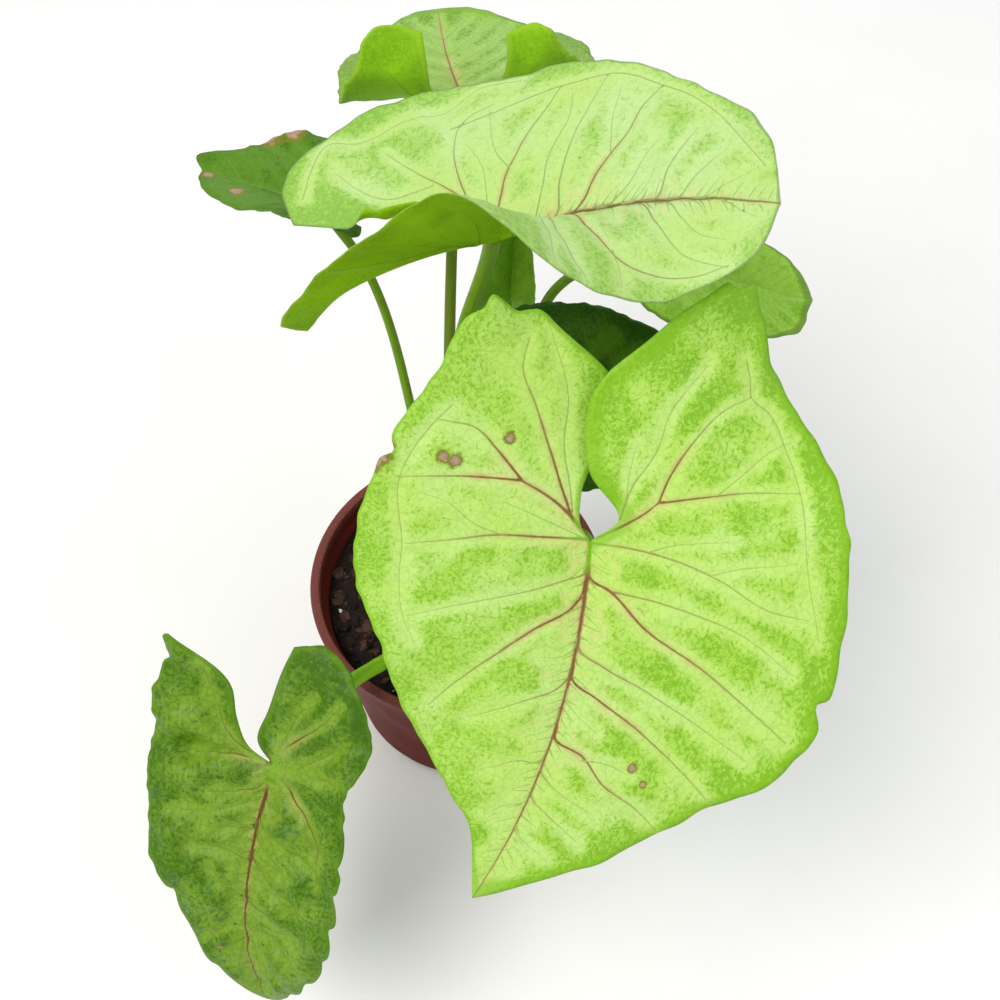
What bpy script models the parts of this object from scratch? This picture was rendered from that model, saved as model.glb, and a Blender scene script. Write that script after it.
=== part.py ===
"""Arrowhead plant in a round nursery pot: pot, soil, eight leaf stalks and eight leaf blades.

All sizes below are in millimetres and degrees; meshes are written in metres.
The origin is the centre of the flat underside of the pot and +Z is up.
"""
import math
from dataclasses import dataclass

import bmesh
import bpy
import numpy as np
from mathutils import Matrix, Vector
from mathutils.geometry import delaunay_2d_cdt

MM = 0.001
FIT_GAP = 0.3

POT_HEIGHT = 86.0
RIM_RADIUS = 50.0
RIM_WIDTH = 3.2
COLLAR_DEPTH = 9.0
COLLAR_STEP = 1.4
BODY_TOP_RADIUS = 47.6
BODY_FOOT_RADIUS = 40.5
FOOT_HEIGHT = 7.0
LIP_ROUND = 0.8
FLOOR_ROUND = 1.5
FLOOR_CENTRE = 14.0
FOOT_STEP = 1.2
POT_WALL = 1.8
POT_FLOOR = 2.5
POT_SEGMENTS = 56
DRAIN_COUNT = 6
DRAIN_RADIUS = 4.0
DRAIN_RING = 24.0

SOIL_TOP = 76.0
SOIL_SEGMENTS = 44
SOIL_RINGS = 9
SOIL_RELIEF = 1.5
SOIL_SHOULDER = 3.0
HOLE_FLOOR = 62.0
HOLE_MOUTH = 84.0

BLADE_THICKNESS = 0.8
MARGIN_STEP = 3.7
STALK_SIDES = 10
STALK_RINGS = 15
STALK_FREE = 80.0
STALK_FLARE = 0.3
AXIS_STEPS = 40
CURL_SPAN = 50.0

SHARE = np.array((0, 6, 16, 32, 54, 80, 106, 132, 150, 162)) / 162.0


@dataclass(frozen=True)
class Half:
    """One side of a blade, spread flat: how far the edge lies from the junction, and how it folds.

    reach gives the radius at ten directions, from the tip round to the end of the lobe.
    end is the direction of the lobe end, sinus the edge back to the junction as (along, across).
    fold and curl are each given at the lobe end, at the junction and at the tip.
    lift raises the whole lobe.
    """
    reach: tuple
    end: float
    sinus: tuple
    fold: tuple
    curl: tuple
    lift: float = 0.0


@dataclass(frozen=True)
class Leaf:
    """One leaf: where its blade joins the stalk, how the blade lies and how the stalk rises.

    seat is how far ahead of the junction, and to the left of the midrib, the stalk meets the blade.
    """
    name: str
    junction: tuple
    heading: float
    dip: float
    roll: float
    sweep: float
    droop: float
    lobe_drop: float
    lobe_length: float
    left: Half
    right: Half
    wave: tuple
    cell: float
    foot: tuple
    course: tuple
    foot_radius: float
    top_radius: float
    seat: tuple
    blade_colour: tuple
    stalk_colour: tuple


LEAVES = (
    Leaf("front", (36.9, -44.0, 188.9), heading=-93, dip=-39, roll=-9, sweep=-29, droop=8,
         lobe_drop=-24, lobe_length=60,
         left=Half((100, 91, 82, 73, 73, 64, 61, 62, 72, 55), 168, ((-5.5, 6.5), (-17.5, -1.5), (-39, -2.5)),
                   (-3, 15, 1), (-21, 2, -4), 3.0),
         right=Half((100, 85, 76, 68, 60, 59, 57, 58, 66, 58), 165, ((-3.5, 2.5), (-11.5, 3), (-34, -6)),
                    (7, 8, 0), (-3, -7, -5), -1.0),
         wave=(1.3, 3.5), cell=6.6, foot=(6, -6), course=((20, -22, 132),),
         foot_radius=2.3, top_radius=1.8, seat=(2.4, 0.0),
         blade_colour=(0.46, 0.68, 0.16), stalk_colour=(0.2, 0.4, 0.05)),
    Leaf("upper", (12.0, 21.2, 225.5), heading=10, dip=25, roll=10, sweep=-44, droop=-16,
         lobe_drop=-4, lobe_length=62,
         left=Half((78, 73, 68, 58, 52, 48, 55, 61, 64, 56), 151, ((-4, 7), (-9, 22), (-34, 23)),
                   (14, 4, 7), (-12, -13, -18)),
         right=Half((78, 76, 68, 56, 52, 48, 45, 51, 58, 56), 186, ((-4.5, 4), (-16, 10.5), (-35.5, 12.5)),
                    (73, 76, -2), (-5, -5, -18)),
         wave=(0.9, 3), cell=6.2, foot=(0, 0), course=((1, 8, 140), (4, 16, 194)),
         foot_radius=2.4, top_radius=1.9, seat=(1.0, 2.0),
         blade_colour=(0.5, 0.75, 0.27), stalk_colour=(0.2, 0.38, 0.06)),
    Leaf("back", (3.5, 97.8, 206.5), heading=103, dip=-17, roll=3, sweep=-5, droop=-24,
         lobe_drop=-128, lobe_length=44,
         left=Half((54, 53, 50, 46, 41, 37, 38, 43, 48, 40), 160, ((-7, 4), (-16, 11), (-28, 13)),
                   (8, 12, 5), (4, -18, -8)),
         right=Half((54, 54, 53, 51, 48, 43, 38, 38, 42, 36), 164, ((-7, 3), (-16, 8), (-27, 10)),
                    (10, 14, 5), (6, -16, -8)),
         wave=(1.2, 3), cell=5.2, foot=(-3, 8), course=((-2, 47, 138), (0, 78, 177)),
         foot_radius=2.2, top_radius=1.7, seat=(2.3, 0.0),
         blade_colour=(0.25, 0.52, 0.09), stalk_colour=(0.22, 0.32, 0.08)),
    Leaf("left_back", (-33.2, 57.9, 200.9), heading=166, dip=10, roll=5, sweep=3, droop=0,
         lobe_drop=0, lobe_length=25,
         left=Half((38, 38, 36, 29, 23, 21, 20, 19, 18, 14), 140, ((-3, 3), (-6, 6), (-9, 8)),
                   (20, 30, 8), (-10, -7, -7)),
         right=Half((38, 41, 35, 30, 28, 24, 22, 20, 18, 14), 140, ((-3, 3), (-6, 6), (-9, 8)),
                    (10, 16, 12), (-10, -9, -7)),
         wave=(0.8, 3), cell=5.0, foot=(-8, 3), course=((-13, 30, 138), (-26, 52, 186)),
         foot_radius=1.9, top_radius=1.3, seat=(1.9, 0.0),
         blade_colour=(0.16, 0.38, 0.13), stalk_colour=(0.18, 0.36, 0.05)),
    Leaf("right_back", (58.8, 47.2, 192.0), heading=-13, dip=-8, roll=3, sweep=2, droop=3,
         lobe_drop=0, lobe_length=30,
         left=Half((47, 45, 41, 34, 29, 25, 23, 22, 20, 16), 140, ((-3, 3), (-6, 6), (-9, 8)),
                   (10, 9, 8), (-10, -10, -10)),
         right=Half((47, 46, 46, 39, 31, 27, 23, 21, 20, 16), 140, ((-3, 3), (-6, 6), (-9, 8)),
                    (20, 16, 3), (-10, -10, -10)),
         wave=(1.0, 3), cell=5.2, foot=(8, 8), course=((20, 46, 130), (32, 62, 162), (52, 55, 184)),
         foot_radius=2.1, top_radius=1.5, seat=(2.1, 0.0),
         blade_colour=(0.2, 0.5, 0.06), stalk_colour=(0.2, 0.42, 0.05)),
    Leaf("shaded", (30.0, 27.0, 152.0), heading=0, dip=0, roll=20, sweep=0, droop=10,
         lobe_drop=0, lobe_length=30,
         left=Half((68, 62, 52, 41, 34, 31, 30, 29, 27, 20), 156, ((-4, 2), (-8, 5), (-13, 7)),
                   (8, 8, 4), (-8, -8, -8)),
         right=Half((68, 61, 50, 40, 34, 31, 30, 29, 27, 20), 156, ((-4, 2), (-8, 5), (-13, 7)),
                    (8, 8, 4), (-8, -8, -8)),
         wave=(1.2, 3), cell=6.4, foot=(9, 1), course=((19, 14, 120),),
         foot_radius=2.0, top_radius=1.6, seat=(2.2, 0.0),
         blade_colour=(0.07, 0.2, 0.02), stalk_colour=(0.16, 0.34, 0.04)),
    Leaf("young", (18.0, 76.0, 141.0), heading=80, dip=74, roll=0, sweep=0, droop=-20,
         lobe_drop=0, lobe_length=16,
         left=Half((52, 42, 31, 23, 18, 15, 14, 14, 14, 11), 150, ((-2, 1.5), (-4, 3), (-6, 4)),
                   (40, 45, 40), (20, 30, 20)),
         right=Half((52, 42, 31, 23, 18, 15, 14, 14, 14, 11), 150, ((-2, 1.5), (-4, 3), (-6, 4)),
                    (40, 45, 40), (20, 30, 20)),
         wave=(0.0, 3), cell=4.6, foot=(3, 14), course=((13, 60, 116),),
         foot_radius=1.8, top_radius=1.3, seat=(1.9, 0.0),
         blade_colour=(0.2, 0.42, 0.05), stalk_colour=(0.2, 0.42, 0.05)),
    Leaf("lower", (-50.4, -76.3, 116.3), heading=-115, dip=-39, roll=-2, sweep=20, droop=49,
         lobe_drop=-11, lobe_length=45,
         left=Half((94, 84, 72, 50, 33, 25, 32, 38, 40, 36), 187, ((-5, -3), (-16, -4), (-27, -5)),
                   (10, 14, 8), (-18, -12, -15)),
         right=Half((94, 79, 65, 52, 45, 38, 37, 41, 44, 48), 128, ((-5, 6), (-11, 14), (-17, 18)),
                    (23, 13, 13), (-13, -20, -15)),
         wave=(1.5, 4), cell=5.8, foot=(-6, -7), course=((-20, -31, 91), (-32, -43, 98)),
         foot_radius=2.6, top_radius=2.2, seat=(2.8, 0.0),
         blade_colour=(0.17, 0.4, 0.04), stalk_colour=(0.13, 0.4, 0.02)),
)


def clear_scene():
    """Remove the objects a new file opens with."""
    for thing in list(bpy.data.objects):
        bpy.data.objects.remove(thing, do_unlink=True)


def material(name, colour, roughness, specular=0.4):
    """Make one Principled material."""
    mat = bpy.data.materials.new(name)
    mat.use_nodes = True
    shader = mat.node_tree.nodes["Principled BSDF"]
    shader.inputs["Base Color"].default_value = (*colour, 1.0)
    shader.inputs["Roughness"].default_value = roughness
    shader.inputs["Specular IOR Level"].default_value = specular
    mat.diffuse_color = (*colour, 1.0)
    return mat


def add_object(name, verts, faces, mat, sharp=()):
    """Write a mesh given in millimetres as an object in metres, smooth except at the sharp edges."""
    mesh = bpy.data.meshes.new(name)
    mesh.from_pydata([tuple(c * MM for c in v) for v in verts], [], faces)
    mesh.materials.append(mat)
    shape = bmesh.new()
    shape.from_mesh(mesh)
    bmesh.ops.recalc_face_normals(shape, faces=shape.faces)
    for face in shape.faces:
        face.smooth = True
    marked = {frozenset(pair) for pair in sharp}
    for edge in shape.edges:
        if frozenset((edge.verts[0].index, edge.verts[1].index)) in marked:
            edge.smooth = False
    shape.to_mesh(mesh)
    shape.free()
    thing = bpy.data.objects.new(name, mesh)
    bpy.context.scene.collection.objects.link(thing)
    return thing


def turned(profile, segments):
    """Turn a profile of (radius, height) about Z; a radius of 0 closes on the axis."""
    verts, rows, faces = [], [], []
    for radius, height in profile:
        if radius == 0:
            rows.append([len(verts)] * segments)
            verts.append((0.0, 0.0, height))
            continue
        rows.append(list(range(len(verts), len(verts) + segments)))
        for k in range(segments):
            angle = math.tau * k / segments
            verts.append((radius * math.cos(angle), radius * math.sin(angle), height))
    for low, high in zip(rows, rows[1:]):
        for k in range(segments):
            nxt = (k + 1) % segments
            ring = [low[k], low[nxt], high[nxt], high[k]]
            face = [v for i, v in enumerate(ring) if v != ring[i - 1]]
            if len(face) > 2:
                faces.append(face)
    return verts, faces


def body_radius(height):
    """Outer radius of the pot's tapered body at a height."""
    return BODY_FOOT_RADIUS + (BODY_TOP_RADIUS - BODY_FOOT_RADIUS) * height / POT_HEIGHT


def cut(target, cutter):
    """Cut one object out of another with a Boolean that stays on the target."""
    cutter.hide_render = True
    cutter.display_type = "WIRE"
    step = target.modifiers.new("cut_" + cutter.name, "BOOLEAN")
    step.operation = "DIFFERENCE"
    step.solver = "EXACT"
    step.object = cutter


def upright_rods(spots, low, high, sides=20):
    """Vertices and faces of several upright rods, each spot given as (x, y, radius)."""
    verts, faces = [], []
    for x, y, radius in spots:
        rod, rod_faces = turned(((0, low), (radius, low), (radius, high), (0, high)), sides)
        start = len(verts)
        verts += [(x + a, y + b, c) for a, b, c in rod]
        faces += [[start + i for i in face] for face in rod_faces]
    return verts, faces


def build_pot():
    """The tapered pot with its collar, rounded lip, foot and drain holes."""
    collar_low = POT_HEIGHT - COLLAR_DEPTH
    lip, floor = LIP_ROUND, POT_FLOOR
    inner = RIM_RADIUS - RIM_WIDTH
    under_collar = body_radius(collar_low)
    foot = BODY_FOOT_RADIUS - FOOT_STEP
    well = body_radius(floor + FLOOR_ROUND) - POT_WALL - FOOT_STEP
    profile = (
        (0, 0), (FLOOR_CENTRE, 0), (foot - lip, 0), (foot, lip),
        (body_radius(FOOT_HEIGHT) - FOOT_STEP, FOOT_HEIGHT), (body_radius(FOOT_HEIGHT + 1), FOOT_HEIGHT + 1),
        (under_collar, collar_low - lip), (under_collar + COLLAR_STEP, collar_low),
        (RIM_RADIUS, POT_HEIGHT - lip), (RIM_RADIUS - lip, POT_HEIGHT),
        (inner + lip, POT_HEIGHT), (inner, POT_HEIGHT - lip),
        (under_collar - POT_WALL, collar_low),
        (well, floor + FLOOR_ROUND), (well - FLOOR_ROUND, floor), (FLOOR_CENTRE, floor), (0, floor),
    )
    mat = material("pot_plastic", (0.13, 0.03, 0.022), 0.5)
    pot = add_object("pot", *turned(profile, POT_SEGMENTS), mat)
    spots = []
    for k in range(DRAIN_COUNT):
        angle = math.tau * k / DRAIN_COUNT
        spots.append((DRAIN_RING * math.cos(angle), DRAIN_RING * math.sin(angle), DRAIN_RADIUS))
    drains = add_object("pot_drain_cutter", *upright_rods(spots, -2, POT_FLOOR + 2), mat)
    cut(pot, drains)


def soil_bump(x, y):
    """Height of the lumps in the potting mix at a point."""
    lumps = math.sin(0.31 * x + 1.3) * math.cos(0.27 * y - 0.4) + 0.6 * math.sin(0.62 * y + 0.5 * x)
    return SOIL_RELIEF * 0.5 * lumps


def build_soil():
    """The potting mix: a plug 0.3 mm clear of the pot with a lumpy top and a hole for each stalk."""
    def wall(height):
        return body_radius(height) - POT_WALL - FIT_GAP

    floor = POT_FLOOR + FIT_GAP
    foot = wall(floor + FLOOR_ROUND) - FOOT_STEP
    shoulder = wall(SOIL_TOP - SOIL_SHOULDER) - FIT_GAP
    top_radius = shoulder - 0.5 * SOIL_SHOULDER
    sides = ((0, floor), (foot - 2, floor), (foot, floor + 2), (shoulder, SOIL_TOP - SOIL_SHOULDER))
    rings = [(top_radius * (1 - k / SOIL_RINGS), SOIL_TOP) for k in range(SOIL_RINGS)]
    verts, faces = turned((*sides, *rings, (0, SOIL_TOP)), SOIL_SEGMENTS)
    lumpy = [(x, y, z + soil_bump(x, y) if z == SOIL_TOP else z) for x, y, z in verts]
    mat = material("potting_mix", (0.03, 0.02, 0.014), 0.95, 0.2)
    soil = add_object("soil", lumpy, faces, mat)
    spots = [(*leaf.foot, leaf.foot_radius + FIT_GAP) for leaf in LEAVES]
    holes = add_object("soil_hole_cutter", *upright_rods(spots, HOLE_FLOOR, HOLE_MOUTH, 16), mat)
    cut(soil, holes)


def joined(at, places, values, rates):
    """Values at the places asked for, on the curve through the given values with the given slopes."""
    i = np.clip(np.searchsorted(places, at, side="right") - 1, 0, len(places) - 2)
    span = places[i + 1] - places[i]
    u = (at - places[i]) / span
    if values.ndim == 2:
        span, u = span[:, None], u[:, None]
    start = (2 * u**3 - 3 * u**2 + 1) * values[i] + (u**3 - 2 * u**2 + u) * span * rates[i]
    return start + (3 * u**2 - 2 * u**3) * values[i + 1] + (u**3 - u**2) * span * rates[i + 1]


def smooth_through(at, places, values):
    """Values at the places asked for, on the smooth curve through the given ones."""
    places = np.asarray(places, float)
    values = np.asarray(values, float)
    return joined(at, places, values, np.gradient(values, places, axis=0))


def ease(x):
    """Blend from 0 to 1 with flat ends."""
    x = np.clip(x, 0.0, 1.0)
    return x * x * (3 - 2 * x)


def spaced(curve, step):
    """Points along a polyline at an even spacing close to step, both ends kept."""
    lengths = np.concatenate(([0], np.cumsum(np.linalg.norm(np.diff(curve, axis=0), axis=1))))
    count = max(2, round(lengths[-1] / step))
    at = np.linspace(0, lengths[-1], count + 1)
    return np.stack([np.interp(at, lengths, curve[:, k]) for k in range(2)], -1)


class Blade:
    """One blade: the flat outline of each half, the bent middle surface and the solid made from it."""

    def __init__(self, leaf):
        """Work out the stations along the blade's axis, from the lobes to the tip."""
        self.leaf = leaf
        self.length = leaf.left.reach[0]
        heading, dip = math.radians(leaf.heading), math.radians(leaf.dip)
        along = Vector((math.cos(dip) * math.cos(heading), math.cos(dip) * math.sin(heading), math.sin(dip)))
        side = Vector((-math.sin(heading), math.cos(heading), 0))
        roll = Matrix.Rotation(math.radians(leaf.roll), 3, along)
        self.frame = (along, roll @ side, roll @ along.cross(side))
        ahead = self.stations(self.length, leaf.droop, leaf.sweep, 1)
        behind = self.stations(leaf.lobe_length, leaf.lobe_drop, 0, -1)
        rows = behind[::-1][:-1] + ahead
        self.places = np.array([row[0] for row in rows])
        self.table = [np.array([row[k] for row in rows]) for k in range(1, 5)]

    def stations(self, length, droop, sweep, sign):
        """Place, centre, and the three axes at even steps along the midrib or back along the lobes."""
        step = length / AXIS_STEPS
        centre = Vector(self.leaf.junction)
        along, side, up = (axis.copy() for axis in self.frame)
        rows = [(0.0, tuple(centre), tuple(along), tuple(side), tuple(up))]
        for k in range(AXIS_STEPS):
            growing = 2 * (k + 0.5) / AXIS_STEPS if sign > 0 else 1.0
            bend = math.radians(droop) / AXIS_STEPS * growing
            swing = math.radians(sweep) / AXIS_STEPS
            turn = Matrix.Rotation(sign * bend, 3, side) @ Matrix.Rotation(sign * swing, 3, up)
            along, side, up = turn @ along, turn @ side, turn @ up
            centre = centre + sign * step * along
            rows.append((sign * (k + 1) * step, tuple(centre), tuple(along), tuple(side), tuple(up)))
        return rows

    def edge(self, half, share):
        """Flat points of the outer edge, share 0 at the tip and 1 at the lobe end."""
        angle = share * math.radians(half.end)
        radius = smooth_through(share, SHARE, half.reach)
        return np.stack([radius * np.cos(angle), radius * np.sin(angle)], -1)

    def inner_edge(self, half):
        """Flat points of the sinus edge, from the lobe end to the junction."""
        corners = np.array([self.edge(half, np.ones(1))[0], *reversed(half.sinus), (0, 0)], float)
        marks = np.concatenate(([0], np.cumsum(np.linalg.norm(np.diff(corners, axis=0), axis=1))))
        return smooth_through(np.linspace(0, marks[-1], 80), marks, corners)

    def outline(self, half):
        """Closed flat outline of a half: tip, outer edge, lobe end, sinus, junction, midrib."""
        outer = spaced(self.edge(half, np.linspace(0, 1, 240)), MARGIN_STEP)
        inner = spaced(self.inner_edge(half), MARGIN_STEP)
        count = round(self.length / self.leaf.cell)
        midrib = np.stack([np.linspace(0, self.length, count + 1), np.zeros(count + 1)], -1)
        return np.concatenate([outer[:-1], inner[:-1], midrib[:-1]]), midrib

    def filled(self, loop):
        """Split a flat outline into near-even triangles; returns the points and the faces."""
        inside = [p for p in self.grid(loop) if clear_inside(p, loop, 0.5 * self.leaf.cell)]
        points = [Vector(p) for p in (*loop, *inside)]
        result = delaunay_2d_cdt(points, [], [list(range(len(loop)))], 1, 1e-5)
        return np.array([tuple(p) for p in result[0]]), [list(face) for face in result[2]]

    def grid(self, loop):
        """Staggered rows of points over the outline's box."""
        low, high = loop.min(0), loop.max(0)
        row_step = self.leaf.cell * math.sqrt(0.75)
        points = []
        for k in range(int((high[1] - low[1]) / row_step) + 1):
            start = low[0] + (k % 2) * 0.5 * self.leaf.cell
            points += [(x, low[1] + k * row_step) for x in np.arange(start, high[0], self.leaf.cell)]
        return points

    def bent(self, flat, half, sign):
        """Carry flat points of one half onto the bent middle surface."""
        place = np.clip(flat[:, 0], self.places[0], self.places[-1])
        centre, along, side, up = (
            np.stack([np.interp(place, self.places, column[:, k]) for k in range(3)], -1) for column in self.table
        )
        fold = np.radians(self.blended(half.fold, place))
        curl = np.radians(self.blended(half.curl, place)) / CURL_SPAN
        curl = np.where(np.abs(curl) < 1e-6, 1e-6, curl)
        slope = fold + curl * flat[:, 1]
        across = (np.sin(slope) - np.sin(fold)) / curl
        rise = (np.cos(fold) - np.cos(slope)) / curl + self.waved(flat, half)
        rise += half.lift * ease(-place / (0.5 * self.leaf.lobe_length))
        past = (flat[:, 0] - place)[:, None]
        return centre + past * along + (sign * across)[:, None] * side + rise[:, None] * up

    def blended(self, values, place):
        """A value that changes from the lobe end to the junction and on to the tip."""
        lobe, base, tip = values
        back = base + (lobe - base) * ease(-place / self.leaf.lobe_length)
        return np.where(place < 0, back, base + (tip - base) * ease(place / self.length))

    def waved(self, flat, half):
        """Height of the waves that grow towards the outer edge."""
        height, count = self.leaf.wave
        share = np.clip(np.arctan2(np.maximum(flat[:, 1], 0), flat[:, 0]) / math.radians(half.end), 0, 1)
        reach = smooth_through(share, SHARE, half.reach)
        near = np.clip(np.hypot(flat[:, 0], flat[:, 1]) / reach, 0, 1) ** 3 * (flat[:, 1] > 0)
        return height * near * np.sin(math.tau * count * share + 0.8) * ease(share * 6)

    def sheet(self):
        """Points and triangles of the bent middle surface, both halves joined along the midrib."""
        points, faces, shared = [], [], {}
        for half, sign in ((self.leaf.left, 1), (self.leaf.right, -1)):
            loop, midrib = self.outline(half)
            flat, triangles = self.filled(loop)
            bent = self.bent(flat, half, sign)
            number = []
            for place, spot in zip(flat, bent):
                on_midrib = np.abs(midrib - place).sum(1).min() < 1e-3
                key = round(float(place[0]), 2) if on_midrib else None
                if key is not None and key in shared:
                    number.append(shared[key])
                    continue
                if key is not None:
                    shared[key] = len(points)
                number.append(len(points))
                points.append(spot)
            for a, b, c in triangles:
                order = (a, b, c) if sign > 0 else (a, c, b)
                faces.append([number[i] for i in order])
        return np.array(points), faces

    def build(self):
        """The closed blade, split alike on its two faces."""
        points, faces = self.sheet()
        normals, stretch = point_normals(points, faces)
        shift = normals * (0.5 * BLADE_THICKNESS * stretch)[:, None]
        count = len(points)
        verts = np.concatenate([points + shift, points - shift])
        skin = list(faces) + [[count + c, count + b, count + a] for a, b, c in faces]
        sharp = []
        for a, b in open_edges(faces):
            skin.append([b, a, count + a])
            skin.append([b, count + a, count + b])
            sharp += [(a, b), (count + a, count + b)]
        mat = material("blade_" + self.leaf.name, self.leaf.blade_colour, 0.5)
        return add_object("blade_" + self.leaf.name, verts.tolist(), skin, mat, sharp)


def clear_inside(point, loop, margin):
    """Whether a point lies inside a closed outline and at least a margin away from it."""
    x, y = point
    start, end = loop, np.roll(loop, -1, axis=0)
    crossing = (start[:, 1] > y) != (end[:, 1] > y)
    rise = np.where(crossing, end[:, 1] - start[:, 1], 1.0)
    hits = crossing & (x < start[:, 0] + (y - start[:, 1]) / rise * (end[:, 0] - start[:, 0]))
    if hits.sum() % 2 == 0:
        return False
    run = end - start
    t = np.clip(((np.array(point) - start) * run).sum(1) / (run**2).sum(1), 0, 1)
    gaps = np.linalg.norm(start + t[:, None] * run - np.array(point), axis=1)
    return gaps.min() > margin


def point_normals(points, faces):
    """Unit normals of a sheet's points, and how far each must stretch to keep the thickness even."""
    index = np.array(faces)
    corners = points[index]
    cross = np.cross(corners[:, 1] - corners[:, 0], corners[:, 2] - corners[:, 0])
    unit = cross / np.linalg.norm(cross, axis=1)[:, None]
    total = np.zeros_like(points)
    for k in range(3):
        np.add.at(total, index[:, k], cross)
    normals = total / np.linalg.norm(total, axis=1)[:, None]
    least = np.ones(len(points))
    for k in range(3):
        np.minimum.at(least, index[:, k], (normals[index[:, k]] * unit).sum(1))
    return normals, 1 / np.clip(least, 0.75, 1)


def open_edges(faces):
    """Directed edges that belong to one face only: the rim of a sheet."""
    seen = {(a, b) for face in faces for a, b in zip(face, face[1:] + face[:1])}
    return [(a, b) for a, b in seen if (b, a) not in seen]


def stalk_course(leaf, blade):
    """Centres of the stalk's rings, straight up out of its hole and then on to the blade's underside."""
    along, side, up = blade.frame
    end = np.array(leaf.junction) + np.array(along) * leaf.seat[0] + np.array(side) * leaf.seat[1]
    end -= np.array(up) * (0.5 * BLADE_THICKNESS + FIT_GAP + 0.1)
    knots = np.array([(*leaf.foot, STALK_FREE), *leaf.course, end], float)
    marks = np.concatenate(([0], np.cumsum(np.linalg.norm(np.diff(knots, axis=0), axis=1))))
    rates = np.gradient(knots, marks, axis=0)
    rates[0] = (0, 0, 1)
    last = np.array(up) + 0.45 * np.array(along)
    rates[-1] = last / np.linalg.norm(last)
    return marks, knots, rates


def build_stalk(leaf, blade):
    """A tapered stalk standing in its hole, its top cut parallel to the blade above it."""
    marks, knots, rates = stalk_course(leaf, blade)
    upper = joined(np.linspace(0, marks[-1], STALK_RINGS), marks, knots, rates)
    centres = [Vector((*leaf.foot, HOLE_FLOOR + FIT_GAP)), *(Vector(c) for c in upper)]
    heads = [Vector((0, 0, 1)), Vector((0, 0, 1))]
    heads += [(b - a).normalized() for a, b in zip(centres[1:], centres[3:])]
    heads.append(Vector(rates[-1]))
    side = Vector((1, 0, 0))
    verts, faces = [], []
    for k, (centre, head) in enumerate(zip(centres, heads)):
        side = (side - head * side.dot(head)).normalized()
        other = head.cross(side)
        along = max(k - 1, 0) / (STALK_RINGS - 1)
        radius = leaf.foot_radius + (leaf.top_radius - leaf.foot_radius) * math.sqrt(along)
        radius += STALK_FLARE * max(0.0, along - 0.85) / 0.15
        for j in range(STALK_SIDES):
            angle = math.tau * j / STALK_SIDES
            spot = centre + radius * (math.cos(angle) * side + math.sin(angle) * other)
            if k == len(centres) - 1:
                up = blade.frame[2]
                spot = spot - head * ((spot - centre).dot(up) / head.dot(up))
            verts.append(tuple(spot))
    for k in range(len(centres) - 1):
        for j in range(STALK_SIDES):
            a, b = k * STALK_SIDES + j, k * STALK_SIDES + (j + 1) % STALK_SIDES
            faces.append([a, b, b + STALK_SIDES, a + STALK_SIDES])
    last = (len(centres) - 1) * STALK_SIDES
    faces.append(list(reversed(range(STALK_SIDES))))
    faces.append(list(range(last, last + STALK_SIDES)))
    rim = []
    for j in range(STALK_SIDES):
        nxt = (j + 1) % STALK_SIDES
        rim += [(j, nxt), (last + j, last + nxt)]
    mat = material("stalk_" + leaf.name, leaf.stalk_colour, 0.5)
    return add_object("stalk_" + leaf.name, verts, faces, mat, rim)


def main():
    """Build every piece."""
    clear_scene()
    build_pot()
    build_soil()
    for leaf in LEAVES:
        blade = Blade(leaf)
        blade.build()
        build_stalk(leaf, blade)


main()
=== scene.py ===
"""Looks of the arrowhead plant in its nursery pot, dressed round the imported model.

Sizes are in millimetres and degrees unless a name says otherwise; meshes are written in metres.
The origin is the centre of the pot's flat underside, +Z is up and the camera stands towards -Y.
"""

import logging
import math
import random
from dataclasses import dataclass, field
from enum import Enum
from typing import Sequence

import bmesh
import bpy
import numpy as np
from mathutils import Matrix, Vector, noise
from mathutils.geometry import delaunay_2d_cdt


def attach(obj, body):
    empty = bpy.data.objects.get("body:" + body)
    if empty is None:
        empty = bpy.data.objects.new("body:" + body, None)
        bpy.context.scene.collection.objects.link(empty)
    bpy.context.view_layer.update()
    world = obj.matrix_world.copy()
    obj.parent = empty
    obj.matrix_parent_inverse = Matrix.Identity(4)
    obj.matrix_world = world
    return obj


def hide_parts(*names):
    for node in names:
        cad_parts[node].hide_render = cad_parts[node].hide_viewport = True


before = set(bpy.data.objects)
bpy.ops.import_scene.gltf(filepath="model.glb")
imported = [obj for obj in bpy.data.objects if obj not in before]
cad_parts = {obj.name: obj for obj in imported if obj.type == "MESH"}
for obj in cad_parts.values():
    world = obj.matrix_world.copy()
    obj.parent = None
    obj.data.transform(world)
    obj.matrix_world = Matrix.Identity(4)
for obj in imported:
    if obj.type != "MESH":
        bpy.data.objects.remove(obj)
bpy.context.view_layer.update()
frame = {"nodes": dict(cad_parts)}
LOG = logging.getLogger("arrowhead_plant")

MM = 0.001
BODY = "root"

# Shares of the way round a half blade, from its tip to its lobe end, at which its reach is given.
SHARE = np.array((0, 6, 16, 32, 54, 80, 106, 132, 150, 162)) / 162.0
# How many steps the bent axis of a blade is worked out in, each way from the junction.
AXIS_STEPS = 40
# Over how many millimetres out from the midrib a blade's curl is given.
CURL_SPAN = 50.0
# What counts as nothing in a length or a slope, and what as one point in a flat net.
TINY = 1e-6
SNAP = 1e-5
# Stands for a vein, an edge or a scar that is nowhere near.
FAR = 9.0

Point = tuple[float, float]
Place = tuple[float, float, float]
Colour = tuple[int, int, int]
Socket = bpy.types.NodeSocket
Outputs = bpy.types.NodeOutputs

# What a blade's mesh keeps for its material, one vector for each vertex.
BLADE_MARKS = ("leaf_place", "leaf_vein", "leaf_edge", "leaf_tone")


class Face(Enum):
    """The two faces of a blade, as material slots."""

    UPPER = 0
    UNDER = 1


class Cells(Enum):
    """What is measured in a pattern of cells, as the feature of its node."""

    WALLS = "DISTANCE_TO_EDGE"
    CENTRES = "F1"


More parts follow.
